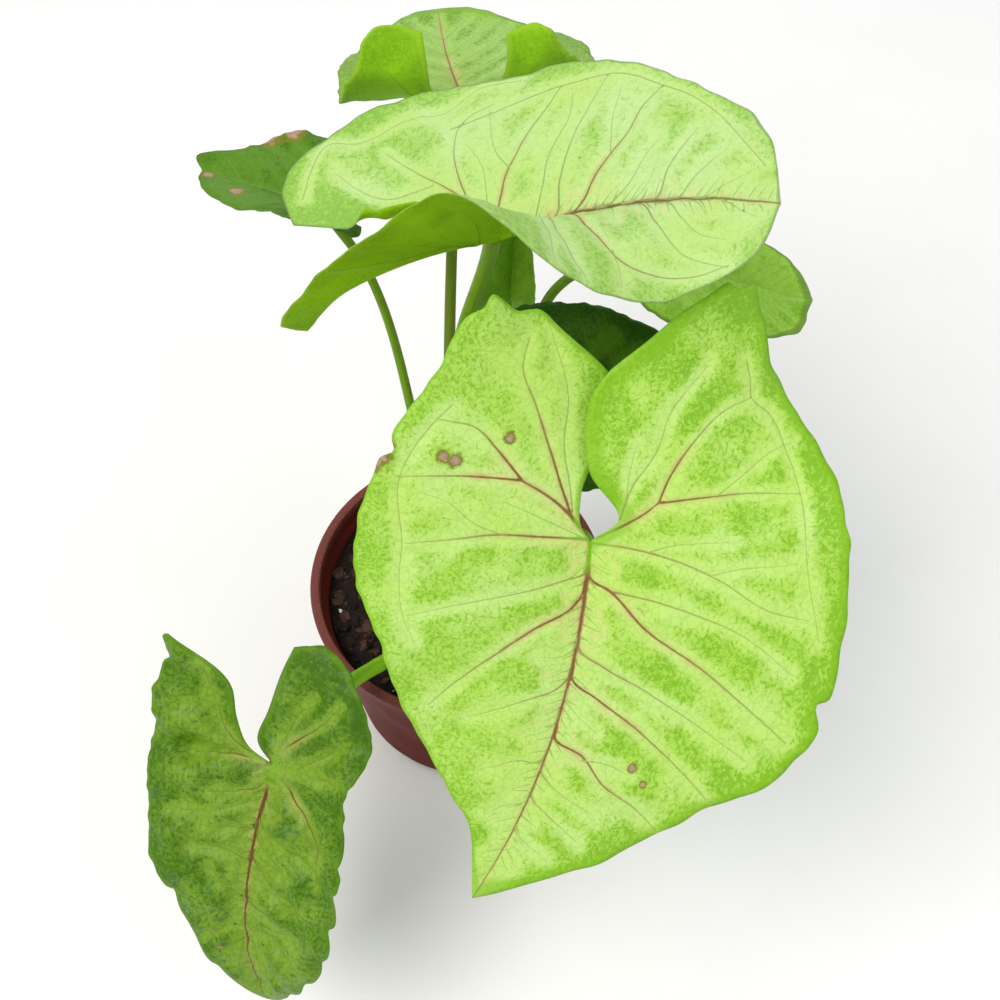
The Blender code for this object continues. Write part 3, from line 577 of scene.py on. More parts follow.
class Wiring:
    """Adds shader nodes to one tree and links them in short calls."""

    def __init__(self, tree: bpy.types.NodeTree) -> None:
        """Keep the tree to work on."""
        self.tree = tree

    def feed(self, made: bpy.types.Node, inputs: dict) -> None:
        """Fill a node's inputs.

        Args:
            made: The node.
            inputs: What each input takes, by name or number: a socket to link or a value.
        """
        for key, value in inputs.items():
            if isinstance(value, Socket):
                self.tree.links.new(value, made.inputs[key])
            else:
                made.inputs[key].default_value = value

    def node(self, kind: str, inputs: dict | None = None, **settings: object) -> bpy.types.Node:
        """Add a node.

        Args:
            kind: The node's type.
            inputs: What each input takes, by name or number.
            settings: The node's own options.

        Returns:
            The new node.
        """
        made = self.tree.nodes.new(kind)
        for name, value in settings.items():
            setattr(made, name, value)
        self.feed(made, inputs or {})
        return made

    def maths(self, kind: str, a: object, b: object = 0.0) -> Socket:
        """One step of arithmetic on one or two numbers."""
        return self.node("ShaderNodeMath", {0: a, 1: b}, operation=kind).outputs[0]

    def plus(self, a: object, b: object) -> Socket:
        """The sum of two numbers."""
        return self.maths("ADD", a, b)

    def minus(self, a: object, b: object) -> Socket:
        """One number less another."""
        return self.maths("SUBTRACT", a, b)

    def times(self, a: object, b: object) -> Socket:
        """The product of two numbers."""
        return self.maths("MULTIPLY", a, b)

    def over(self, a: object, b: object) -> Socket:
        """One number divided by another."""
        return self.maths("DIVIDE", a, b)

    def step(self, value: object, low: float, high: float) -> Socket:
        """Rise smoothly from 0 at low to 1 at high."""
        made = self.node("ShaderNodeMapRange", {0: value, 1: low, 2: high}, interpolation_type="SMOOTHSTEP")
        return made.outputs[0]

    def fall(self, value: object, low: float, high: float) -> Socket:
        """Fall smoothly from 1 at low to 0 at high."""
        return self.minus(1.0, self.step(value, low, high))

    def between(self, value: object, low: object, high: object) -> Socket:
        """Spread a value of 0 to 1 over a range."""
        return self.node("ShaderNodeMapRange", {0: value, 3: low, 4: high}).outputs[0]

    def vectors(self, kind: str, one: object, other: object) -> Socket:
        """One step of arithmetic on two vectors, or on a vector and the number that scales it."""
        inputs = {0: one, "Scale" if kind == "SCALE" else 1: other}
        return self.node("ShaderNodeVectorMath", inputs, operation=kind).outputs[0]

    def split(self, vector: object) -> Outputs:
        """The three numbers of a vector."""
        return self.node("ShaderNodeSeparateXYZ", {0: vector}).outputs

    def stretch(self, place: object, x: float, y: float, z: float) -> Socket:
        """A place multiplied axis by axis."""
        return self.node("ShaderNodeMapping", {0: place, "Scale": (x, y, z)}).outputs[0]

    def attribute(self, name: str) -> Socket:
        """A vector kept with the mesh's vertices."""
        return self.node("ShaderNodeAttribute", attribute_name=name).outputs["Vector"]

    def position(self) -> Socket:
        """The place in the room, in millimetres."""
        return self.vectors("SCALE", self.node("ShaderNodeNewGeometry").outputs["Position"], 1 / MM)

    def mix(self, share: object, one: object, other: object) -> Socket:
        """Blend two colours."""
        return self.node("ShaderNodeMix", {0: share, 6: one, 7: other}, data_type="RGBA").outputs[2]

    def coat(self, colour: object, mask: object, most: float, paint: Colour) -> Socket:
        """Lay a screen colour over another colour, at its most where the mask is 1."""
        return self.mix(self.times(mask, most), colour, linear(paint))

    def texture(self, place: object, scale: object, detail: float, **more: float) -> bpy.types.Node:
        """A soft random texture."""
        return self.node("ShaderNodeTexNoise", {"Vector": place, "Scale": scale, "Detail": detail, **more})

    def noise(self, place: object, breadth: float, seed: float = 0.0, detail: float = 2.5) -> Socket:
        """Make a random pattern of soft lumps.

        Args:
            place: Where it is read.
            breadth: About how broad its lumps are, in the unit of place.
            seed: Which of many such patterns it is, or 0 for the plain one.
            detail: How much finer detail it has.

        Returns:
            The pattern, from 0 to 1.
        """
        made = self.texture(place, 0.5 / breadth, detail)
        if seed:
            made.noise_dimensions = "4D"
            made.inputs["W"].default_value = seed
        return made.outputs[0]

    def cells(self, place: object, breadth: float, kind: Cells) -> Socket:
        """How far it is to the walls or the centres of cells about breadth across."""
        inputs = {"Vector": place, "Scale": 1.0 / breadth}
        return self.node("ShaderNodeTexVoronoi", inputs, feature=kind.value).outputs["Distance"]

    def bump(self, strength: float, distance: float, height: Socket) -> Socket:
        """A normal bent by a height, whose full range is distance metres."""
        inputs = {"Strength": strength, "Distance": distance, "Height": height}
        return self.node("ShaderNodeBump", inputs).outputs[0]


class Effect:
    """A shader node group, built once and placed in many materials.

    It takes Place, a vector in millimetres, and all else that goes in or comes out is a number.
    """

    def __init__(self, name: str, inputs: dict[str, float], outputs: Sequence[str]) -> None:
        """Make the group's interface.

        Args:
            name: The group's name.
            inputs: The numbers it takes besides Place, with their defaults.
            outputs: The names of what it gives.
        """
        self.tree = bpy.data.node_groups.new(name, "ShaderNodeTree")
        self.tree.interface.new_socket("Place", in_out="INPUT", socket_type="NodeSocketVector")
        for key, value in inputs.items():
            made = self.tree.interface.new_socket(key, in_out="INPUT", socket_type="NodeSocketFloat")
            made.default_value = value
        for key in outputs:
            self.tree.interface.new_socket(key, in_out="OUTPUT", socket_type="NodeSocketFloat")
        self.wire = Wiring(self.tree)
        self.given = self.wire.node("NodeGroupInput").outputs
        self.result = self.wire.node("NodeGroupOutput").inputs

    def put_out(self, name: str, value: Socket) -> None:
        """Feed one of the group's outputs."""
        self.tree.links.new(value, self.result[name])

    def place(self, wire: Wiring, **values: object) -> Outputs:
        """Place the group in a material, with values for its inputs, and return what it gives."""
        return wire.node("ShaderNodeGroup", dict(values), node_tree=self.tree).outputs


def leaf_marks_effect() -> Effect:
    """Build the pattern of a blade: clouds, specks, veins with their blush, the margin and the fine net.

    Returns:
        The group. Place is on the flat blade, Vein the distance to the nearest vein in half widths,
        Strength how strong that vein is, Near the same distance and Edge the distance to the margin in
        millimetres, Scar the distance to the nearest scar in radii, Specks how thickly this part is
        specked and Band the width of the green margin.
    """
    group = Effect(
        "leaf_marks",
        {"Vein": FAR, "Strength": 0.0, "Near": FAR, "Edge": FAR, "Scar": FAR, "Specks": 1.0, "Band": 1.0,
         "Cover": 0.5, "Grain": 1.0},
        ("Clouds", "Specks", "Vein", "Main", "Halo", "Blush", "Rim", "Net", "Collar", "Dots", "Scar",
         "Scar ring", "Height"),
    )
    wire, given = group.wire, group.given
    place = given["Place"]
    # Places that wander a little, so that no pattern runs straight.
    warp = wire.vectors("SUBTRACT", wire.texture(place, 0.24, 1.0).outputs["Color"], (0.5, 0.5, 0.5))
    bent = wire.vectors("ADD", place, wire.vectors("SCALE", warp, 3.0))
    patches = wire.noise(bent, 7.0)
    # How much is green: most between the veins, some along the margin.
    ragged = wire.plus(given["Near"], wire.times(wire.minus(patches, 0.5), 4.0))
    between_veins = wire.step(ragged, 0.6, 4.6)
    cloud = wire.plus(0.34, wire.times(wire.step(patches, 0.34, 0.64), 0.66))
    density = wire.times(between_veins, cloud)
    margin = wire.times(wire.fall(given["Edge"], 1.0, 9.0), 0.3)
    density = wire.plus(density, wire.times(margin, wire.step(given["Near"], 0.2, 1.6)))
    density = wire.times(density, wire.times(given["Cover"], given["Specks"]))
    # Soft clouds, and fine specks that join into short wriggling lines.
    size = wire.over(0.95, given["Grain"])
    fine = wire.texture(bent, size, 3.0, Roughness=0.7).outputs[0]
    worm = wire.texture(bent, wire.times(size, 0.62), 2.0).outputs[0]
    ridge = wire.fall(wire.maths("ABSOLUTE", wire.minus(worm, 0.5)), 0.0, 0.07)
    spread = wire.step(fine, 0.3, 0.7)
    soft = wire.minus(wire.times(density, 1.5), wire.times(spread, 0.45))
    group.put_out("Clouds", wire.step(soft, -0.22, 0.95))
    speck = wire.plus(wire.times(density, 0.78), wire.times(ridge, 0.42))
    group.put_out("Specks", wire.step(wire.minus(speck, spread), -0.05, 0.62))
    # The veins, and the warm tint beside the main ones.
    grit = wire.minus(wire.noise(place, 0.8), 0.5)
    ratio = wire.plus(given["Vein"], wire.times(grit, 0.7))
    seen = wire.plus(0.3, wire.times(given["Strength"], 0.7))
    core = wire.times(wire.fall(ratio, 0.3, 1.2), seen)
    group.put_out("Vein", core)
    main = wire.step(given["Strength"], 0.42, 0.85)
    group.put_out("Main", main)
    patchy = wire.step(wire.noise(place, 2.6), 0.32, 0.66)
    halo = wire.times(wire.fall(given["Near"], 0.2, 1.5), wire.times(main, patchy))
    group.put_out("Halo", halo)
    wide = wire.times(wire.fall(given["Near"], 0.5, 4.5), wire.step(given["Strength"], 0.6, 0.98))
    group.put_out("Blush", wire.times(wide, wire.step(patches, 0.34, 0.6)))
    # The green margin, the fine net, the junction, stray dots and scars.
    uneven = wire.plus(given["Edge"], wire.times(wire.minus(patches, 0.5), 2.4))
    group.put_out("Rim", wire.fall(wire.over(uneven, given["Band"]), 0.55, 1.3))
    group.put_out("Net", wire.fall(wire.cells(bent, 2.4, Cells.WALLS), 0.0, 0.12))
    away = wire.node("ShaderNodeVectorMath", {0: place}, operation="LENGTH").outputs["Value"]
    group.put_out("Collar", wire.fall(away, 5.0, 10.0))
    group.put_out("Dots", wire.fall(wire.cells(bent, 13.0, Cells.CENTRES), 0.02, 0.034))
    torn = wire.plus(given["Scar"], wire.times(grit, 1.6))
    group.put_out("Scar", wire.fall(torn, 0.7, 1.0))
    group.put_out("Scar ring", wire.fall(torn, 1.0, 1.7))
    group.put_out("Height", wire.minus(wire.times(grit, 0.5), wire.times(core, 0.6)))
    return group


def surface_grain_effect() -> Effect:
    """Build the fine unevenness of a surface that pot, stalks, chips, grains and floor share.

    Returns:
        The group. Breadth is that of the coarsest lumps, in millimetres.
    """
    group = Effect("surface_grain", {"Breadth": 4.0, "Seed": 0.0}, ("Cloud", "Speck", "Height"))
    wire, given = group.wire, group.given
    scale = wire.over(0.5, given["Breadth"])
    shift = wire.node("ShaderNodeCombineXYZ", {0: wire.times(given["Seed"], 37.0), 1: given["Seed"]})
    moved = wire.vectors("ADD", given["Place"], shift.outputs[0])
    cloud = wire.texture(moved, scale, 3.0).outputs[0]
    fine = wire.texture(moved, wire.times(scale, 7.0), 3.0).outputs[0]
    group.put_out("Cloud", wire.step(cloud, 0.3, 0.7))
    group.put_out("Speck", wire.step(fine, 0.56, 0.68))
    group.put_out("Height", wire.plus(wire.times(cloud, 0.6), wire.times(fine, 0.4)))
    return group


def new_material(name: str) -> tuple[bpy.types.Material, Wiring, bpy.types.Node]:
    """Make an empty Principled material.

    Args:
        name: The material's name.

    Returns:
        The material, its wiring and its shader.
    """
    made = bpy.data.materials.new(name)
    made.use_nodes = True
    return made, Wiring(made.node_tree), made.node_tree.nodes["Principled BSDF"]


class Looks:
    """The effects, built once, and the materials made with them."""

    def __init__(self) -> None:
        """Build the shared effects."""
        self.leaf_marks = leaf_marks_effect()
        self.grain = surface_grain_effect()

    def blade(self, leaf: Leaf, face: Face) -> bpy.types.Material:
        """Dress one face of a blade.

        Args:
            leaf: The leaf.
            face: The upper or the under face.

        Returns:
            The material.
        """
        finish = leaf.finish
        mat, wire, shader = new_material(f"blade_{leaf.name}_{face.name.lower()}")
        place, vein, edge, tone = (wire.attribute(name) for name in BLADE_MARKS)
        veins, edges, tones = wire.split(vein), wire.split(edge), wire.split(tone)
        marks = self.leaf_marks.place(
            wire, Place=place, Vein=veins[0], Strength=veins[1], Near=veins[2], Edge=edges[0], Scar=edges[1],
            Specks=tones[0], Band=tones[1], Cover=finish.cover, Grain=finish.grain)
        clouds = wire.noise(place, 14.0, leaf.seed)
        upper = face is Face.UPPER
        colour = (self.upper_colour if upper else self.under_colour)(wire, finish, marks, clouds)
        rough, gloss = (finish.roughness, 0.2) if upper else (finish.roughness + 0.2, 0.08)
        scar = wire.mix(marks["Scar ring"], colour, linear(finish.bruise))
        brown = wire.mix(wire.noise(place, 0.7), *(linear(scab) for scab in finish.scab))
        wire.feed(shader, {
            "Base Color": wire.mix(marks["Scar"], scar, brown),
            "Roughness": wire.between(wire.noise(place, 5.0), rough - 0.07, rough + 0.08),
            "Normal": wire.bump(0.5, 0.00035, marks["Height"]),
            "Specular IOR Level": gloss,
        })
        return mat

    @staticmethod
    def upper_colour(wire: Wiring, finish: LeafFinish, marks: Outputs, clouds: Socket) -> Socket:
        """Mix the colour of a blade's upper face.

        Args:
            wire: The material's wiring.
            finish: The blade's finish.
            marks: What the leaf pattern gives.
            clouds: A broad random pattern.

        Returns:
            The colour.
        """
        warm = toned(finish.pale, (0.98, 0.985, 0.84))
        colour = wire.mix(wire.step(clouds, 0.35, 0.65), linear(finish.pale), linear(warm))
        for name, most, paint in (
            ("Clouds", 0.92, finish.mid),
            ("Specks", finish.specks, finish.deep),
            ("Net", 0.3 * finish.net, toned(finish.deep, 0.8)),
            ("Blush", 0.6 * finish.blush, finish.glow),
            ("Halo", finish.blush, finish.halo),
            ("Rim", 0.65, finish.rim),
            ("Dots", finish.dots, finish.dot),
        ):
            colour = wire.coat(colour, marks[name], most, paint)
        rib = wire.mix(marks["Main"], linear(finish.faint), linear(finish.vein))
        rib = wire.mix(marks["Collar"], rib, linear(finish.collar))
        return wire.mix(marks["Vein"], colour, rib)

    @staticmethod
    def under_colour(wire: Wiring, finish: LeafFinish, marks: Outputs, clouds: Socket) -> Socket:
        """Mix the colour of a blade's under face, whose green is partly painted light shining through it.

        Args:
            wire: The material's wiring.
            finish: The blade's finish.
            marks: What the leaf pattern gives.
            clouds: A broad random pattern.

        Returns:
            The colour.
        """
        # Painted light: finish.under is a saturated green that partly stands for light shining through the
        # blade.
        bright = toned(finish.under, 1.2)
        colour = wire.mix(wire.step(clouds, 0.3, 0.7), linear(finish.under), linear(bright))
        for name, most, paint in (
            ("Net", 0.3, bright),
            ("Specks", 0.4, toned(finish.under, 0.82)),
            ("Rim", 0.5, toned(finish.under, (1.16, 1.06, 1.2), 16)),
            ("Vein", 0.8, toned(finish.under, (0.84, 0.8, 1.0))),
        ):
            colour = wire.coat(colour, marks[name], most, paint)
        return colour

    def stalk(self, leaf: Leaf) -> bpy.types.Material:
        """Dress a stalk: fine lengthwise streaks, brown flecks and a paler foot.

        Args:
            leaf: The leaf that the stalk carries.

        Returns:
            The material.
        """
        mat, wire, shader = new_material("stalk_" + leaf.name)
        along = wire.attribute("stalk_place")
        streaks = wire.stretch(along, 1.0, 1.0, 0.06)
        grain = self.grain.place(wire, Place=streaks, Breadth=1.2, Seed=float(leaf.seed))
        flecks = self.grain.place(wire, Place=along, Breadth=9.0, Seed=leaf.seed + 3.0)
        colour = wire.coat(linear(leaf.stalk), grain["Cloud"], 0.6, toned(leaf.stalk, 0.7))
        foot = wire.fall(wire.split(along)[2], 70.0, 110.0)
        colour = wire.coat(colour, foot, 0.7, toned(leaf.stalk, 1.12, 14))
        colour = wire.coat(colour, wire.times(flecks["Speck"], flecks["Cloud"]), 0.6, (96, 72, 30))
        wire.feed(shader, {
            "Base Color": colour,
            "Roughness": wire.between(grain["Cloud"], 0.4, 0.54),
            "Normal": wire.bump(0.4, 0.0004, grain["Height"]),
            "Specular IOR Level": 0.25,
        })
        return mat

    def pot(self, finish: PotFinish) -> bpy.types.Material:
        """Dress the pot: brick-red plastic, faintly clouded and ringed, with a paler rim that is part dust
        and part painted sheen from the light on top.

        Args:
            finish: The pot's finish.

        Returns:
            The material.
        """
        mat, wire, shader = new_material("pot_plastic")
        place = wire.position()
        rings = wire.stretch(place, 0.12, 0.12, 1.0)
        broad = self.grain.place(wire, Place=place, Breadth=16.0, Seed=1.0)
        fine = self.grain.place(wire, Place=place, Breadth=1.4, Seed=2.0)
        turned = self.grain.place(wire, Place=rings, Breadth=1.6, Seed=3.0)
        colour = wire.coat(linear(finish.plastic), broad["Cloud"], 0.6, finish.cloud)
        colour = wire.coat(colour, turned["Cloud"], 0.25, finish.ring)
        # The rim's paler colour is part dust and part painted sheen where the light falls on top; dust flecks
        # gather there too.
        rim = wire.step(wire.split(place)[2], finish.rim_from, finish.rim_to)
        colour = wire.coat(colour, rim, 0.75, finish.rim)
        dust = wire.times(fine["Speck"], wire.plus(0.04, wire.times(rim, 0.36)))
        wire.feed(shader, {
            "Base Color": wire.mix(dust, colour, linear(finish.dust)),
            "Roughness": wire.between(broad["Cloud"], 0.5, 0.66),
            "Normal": wire.bump(0.3, 0.0003, turned["Height"]),
            "Specular IOR Level": 0.08,
        })
        return mat

    def crumbs(self, finish: CrumbFinish) -> bpy.types.Material:
        """Dress loose stuff: potting mix, bark chips or perlite.

        Args:
            finish: Its finish.

        Returns:
            The material.
        """
        mat, wire, shader = new_material(finish.name)
        grain = self.grain.place(wire, Place=wire.position(), Breadth=finish.breadth, Seed=4.0)
        colour = wire.mix(grain["Cloud"], linear(finish.dark), linear(finish.light))
        wire.feed(shader, {
            "Base Color": wire.coat(colour, grain["Speck"], 0.35, toned(finish.light, 1.5, 20)),
            "Roughness": wire.between(grain["Cloud"], finish.rough - 0.1, finish.rough),
            "Normal": wire.bump(0.8, 0.0006, grain["Height"]),
            "Specular IOR Level": 0.35,
        })
        return mat


def write_piece(name: str, verts: np.ndarray, faces: Sequence, mats: Sequence[bpy.types.Material],
                slots: Sequence[int] | None = None, smooth: bool = True) -> bpy.types.Object:
    """Write a mesh given in millimetres as an object in metres.

    Args:
        name: The piece's name.
        verts: Its vertices, one row each.
        faces: Its faces, as vertex numbers.
        mats: Its materials.
        slots: Which material each face has, or None if there is only one.
        smooth: Whether it is shaded smooth.

    Returns:
        The new object.
    """
    mesh = bpy.data.meshes.new(name)
    mesh.from_pydata((np.asarray(verts) * MM).tolist(), [], [list(map(int, f)) for f in faces])
    for mat in mats:
        mesh.materials.append(mat)
    if slots is not None:
        mesh.polygons.foreach_set("material_index", np.asarray(slots, np.int32))
    mesh.polygons.foreach_set("use_smooth", np.full(len(mesh.polygons), smooth))
    mesh.update()
    piece = bpy.data.objects.new(name, mesh)
    bpy.context.scene.collection.objects.link(piece)
    LOG.info("%s: %d faces", name, len(mesh.polygons))
    return piece


def store_vectors(piece: bpy.types.Object, name: str, rows: np.ndarray) -> None:
    """Keep a vector for each vertex of a piece, for its material to read."""
    made = piece.data.attributes.new(name, "FLOAT_VECTOR", "POINT")
    made.data.foreach_set("vector", np.asarray(rows, np.float32).ravel())


@dataclass
class BladeSurface:
    """The bent middle surface of a blade, from the same numbers as the model's solid."""

    leaf: Leaf
    places: np.ndarray = field(init=False)
    table: list[np.ndarray] = field(init=False)
    frame: tuple[Vector, Vector, Vector] = field(init=False)

    def __post_init__(self) -> None:
        """Work out the stations along the blade's axis, from the lobes to the tip."""
        leaf = self.leaf
        heading, dip = math.radians(leaf.heading), math.radians(leaf.dip)
        along = Vector((math.cos(dip) * math.cos(heading), math.cos(dip) * math.sin(heading), math.sin(dip)))
        side = Vector((-math.sin(heading), math.cos(heading), 0))
        roll = Matrix.Rotation(math.radians(leaf.roll), 3, along)
        self.frame = (along, roll @ side, roll @ along.cross(side))
        ahead = self.stations(self.length, leaf.droop, leaf.sweep, 1)
        behind = self.stations(leaf.lobe_length, leaf.lobe_drop, 0, -1)
        rows = behind[::-1][:-1] + ahead
        self.places = np.array([row[0] for row in rows])
        self.table = [np.array([row[k] for row in rows]) for k in range(1, 5)]

    @property
    def length(self) -> float:
        """Length that the bends are spread over."""
        return self.leaf.left.reach[0]

    @property
    def rib_end(self) -> float:
        """Where the midrib ends."""
        return float(self.radius(self.leaf.left, np.zeros(1))[0])

    def stations(self, length: float, droop: float, sweep: float, sign: int) -> list[tuple]:
        """Step along the midrib or back along the lobes.

        Args:
            length: How far to go.
            droop: How far the axis turns down in all.
            sweep: How far it turns sideways in all.
            sign: 1 ahead and -1 behind.

        Returns:
            Place, centre and the three axes at each step.
        """
        step = length / AXIS_STEPS
        centre = Vector(self.leaf.junction)
        along, side, up = (axis.copy() for axis in self.frame)
        rows = [(0.0, tuple(centre), tuple(along), tuple(side), tuple(up))]
        for k in range(AXIS_STEPS):
            growing = 2 * (k + 0.5) / AXIS_STEPS if sign > 0 else 1.0
            bend = math.radians(droop) / AXIS_STEPS * growing
            swing = math.radians(sweep) / AXIS_STEPS
            turn = Matrix.Rotation(sign * bend, 3, side) @ Matrix.Rotation(sign * swing, 3, up)
            along, side, up = turn @ along, turn @ side, turn @ up
            centre = centre + sign * step * along
            rows.append((sign * (k + 1) * step, tuple(centre), tuple(along), tuple(side), tuple(up)))
        return rows

    def radius(self, half: Half, share: np.ndarray) -> np.ndarray:
        """Work out how far the margin lies from the junction, with its nicks and small crinkles.

        Args:
            half: The half.
            share: Shares of the way round, 0 at the tip and 1 at the lobe end.

        Returns:
            The radius at each share.
        """
        reach = smooth_through(share, SHARE, half.reach)
        for nick in half.nicks:
            reach = reach - nick.depth * np.exp(-(((share - nick.share) / nick.breadth) ** 2))
        turns = self.leaf.seed * 1.7 + half.end
        crinkle = np.sin(61 * share + turns) * np.sin(23 * share + 2 * turns)
        crinkle += 0.5 * np.sin(137 * share + turns)
        reach = reach - self.leaf.blunt * np.exp(-((share * half.end / 9.0) ** 2))
        return reach + 0.3 * crinkle * ease(share * 12) * ease((1 - share) * 12)

    def edge(self, half: Half, share: np.ndarray) -> np.ndarray:
        """Find flat points of the outer edge.

        Args:
            half: The half.
            share: Shares of the way round, 0 at the tip and 1 at the lobe end.

        Returns:
            The points, along the midrib and out from it.
        """
        angle = share * math.radians(half.end)
        radius = self.radius(half, share)
        return np.stack([radius * np.cos(angle), radius * np.sin(angle)], -1)

    def inner_edge(self, half: Half) -> np.ndarray:
        """Find flat points of the sinus edge, from the lobe end to the junction.

        Args:
            half: The half.

        Returns:
            The points.
        """
        corners = np.array([self.edge(half, np.ones(1))[0], *reversed(half.sinus), (0, 0)], float)
        marks = marks_along(corners)
        return smooth_through(np.linspace(0, marks[-1], 160), marks, corners)

    def bent(self, flat: np.ndarray, half: Half, sign: int) -> np.ndarray:
        """Carry flat points of one half onto the bent middle surface.

        Args:
            flat: The points, along the midrib and out from it.
            half: The half that they are on.
            sign: 1 on the left half and -1 on the right.

        Returns:
            The points in space.
        """
        place = np.clip(flat[:, 0], self.places[0], self.places[-1])
        centre, along, side, up = (
            np.stack([np.interp(place, self.places, column[:, k]) for k in range(3)], -1)
            for column in self.table
        )
        fold = np.radians(self.blended(half.fold, place))
        curl = np.radians(self.blended(half.curl, place)) / CURL_SPAN
        curl = np.where(np.abs(curl) < TINY, TINY, curl)
        out, rolled = self.rolled_edge(flat, half)
        slope = fold + curl * out
        across = (np.sin(slope) - np.sin(fold)) / curl
        rise = (np.cos(fold) - np.cos(slope)) / curl + self.waved(flat, half) + rolled
        rise += half.lift * ease(-place / (0.5 * self.leaf.lobe_length))
        past = (flat[:, 0] - place)[:, None]
        return centre + past * along + (sign * across)[:, None] * side + rise[:, None] * up

    def rolled_edge(self, flat: np.ndarray, half: Half) -> tuple[np.ndarray, np.ndarray]:
        """Roll the sinus edge up and back over the blade.

        Args:
            flat: Flat points of the half.
            half: The half, whose cuff is the radius of the roll.

        Returns:
            How far out each point then lies, and how far it rises.
        """
        if not half.cuff:
            return flat[:, 1], np.zeros(len(flat))
        knots = np.array(half.sinus)[::-1]
        brink = np.interp(flat[:, 0], knots[:, 0], knots[:, 1])
        window = ease((flat[:, 0] - knots[0, 0] + 4) / 16) * ease((-6 - flat[:, 0]) / 8)
        past = np.maximum(brink + 2 * half.cuff - flat[:, 1], 0) * window
        turn = past / half.cuff
        return flat[:, 1] + past - half.cuff * np.sin(turn), half.cuff * (1 - np.cos(turn))

    def blended(self, values: tuple[float, float, float], place: np.ndarray) -> np.ndarray:
        """Blend a value from the lobe end to the junction and on to the tip.

        Args:
            values: The value at those three.
            place: Places along the midrib, negative in the lobes.

        Returns:
            The value at each place.
        """
        lobe, base, tip = values
        back = base + (lobe - base) * ease(-place / self.leaf.lobe_length)
        return np.where(place < 0, back, base + (tip - base) * ease(place / self.length))

    def waved(self, flat: np.ndarray, half: Half) -> np.ndarray:
        """Work out the waves that grow towards the outer edge.

        Args:
            flat: Flat points of the half.
            half: The half.

        Returns:
            How far each point rises.
        """
        height, count = self.leaf.wave
        share = np.clip(np.arctan2(np.maximum(flat[:, 1], 0), flat[:, 0]) / math.radians(half.end), 0, 1)
        reach = smooth_through(share, SHARE, half.reach)
        near = np.clip(np.hypot(flat[:, 0], flat[:, 1]) / reach, 0, 1) ** 3 * (flat[:, 1] > 0)
        broad = height * near * np.sin(math.tau * count * share + 0.8)
        frill = 0.35 * height * near**4 * np.sin(math.tau * 3.1 * count * share + self.leaf.seed)
        return (broad + frill) * ease(share * 6)


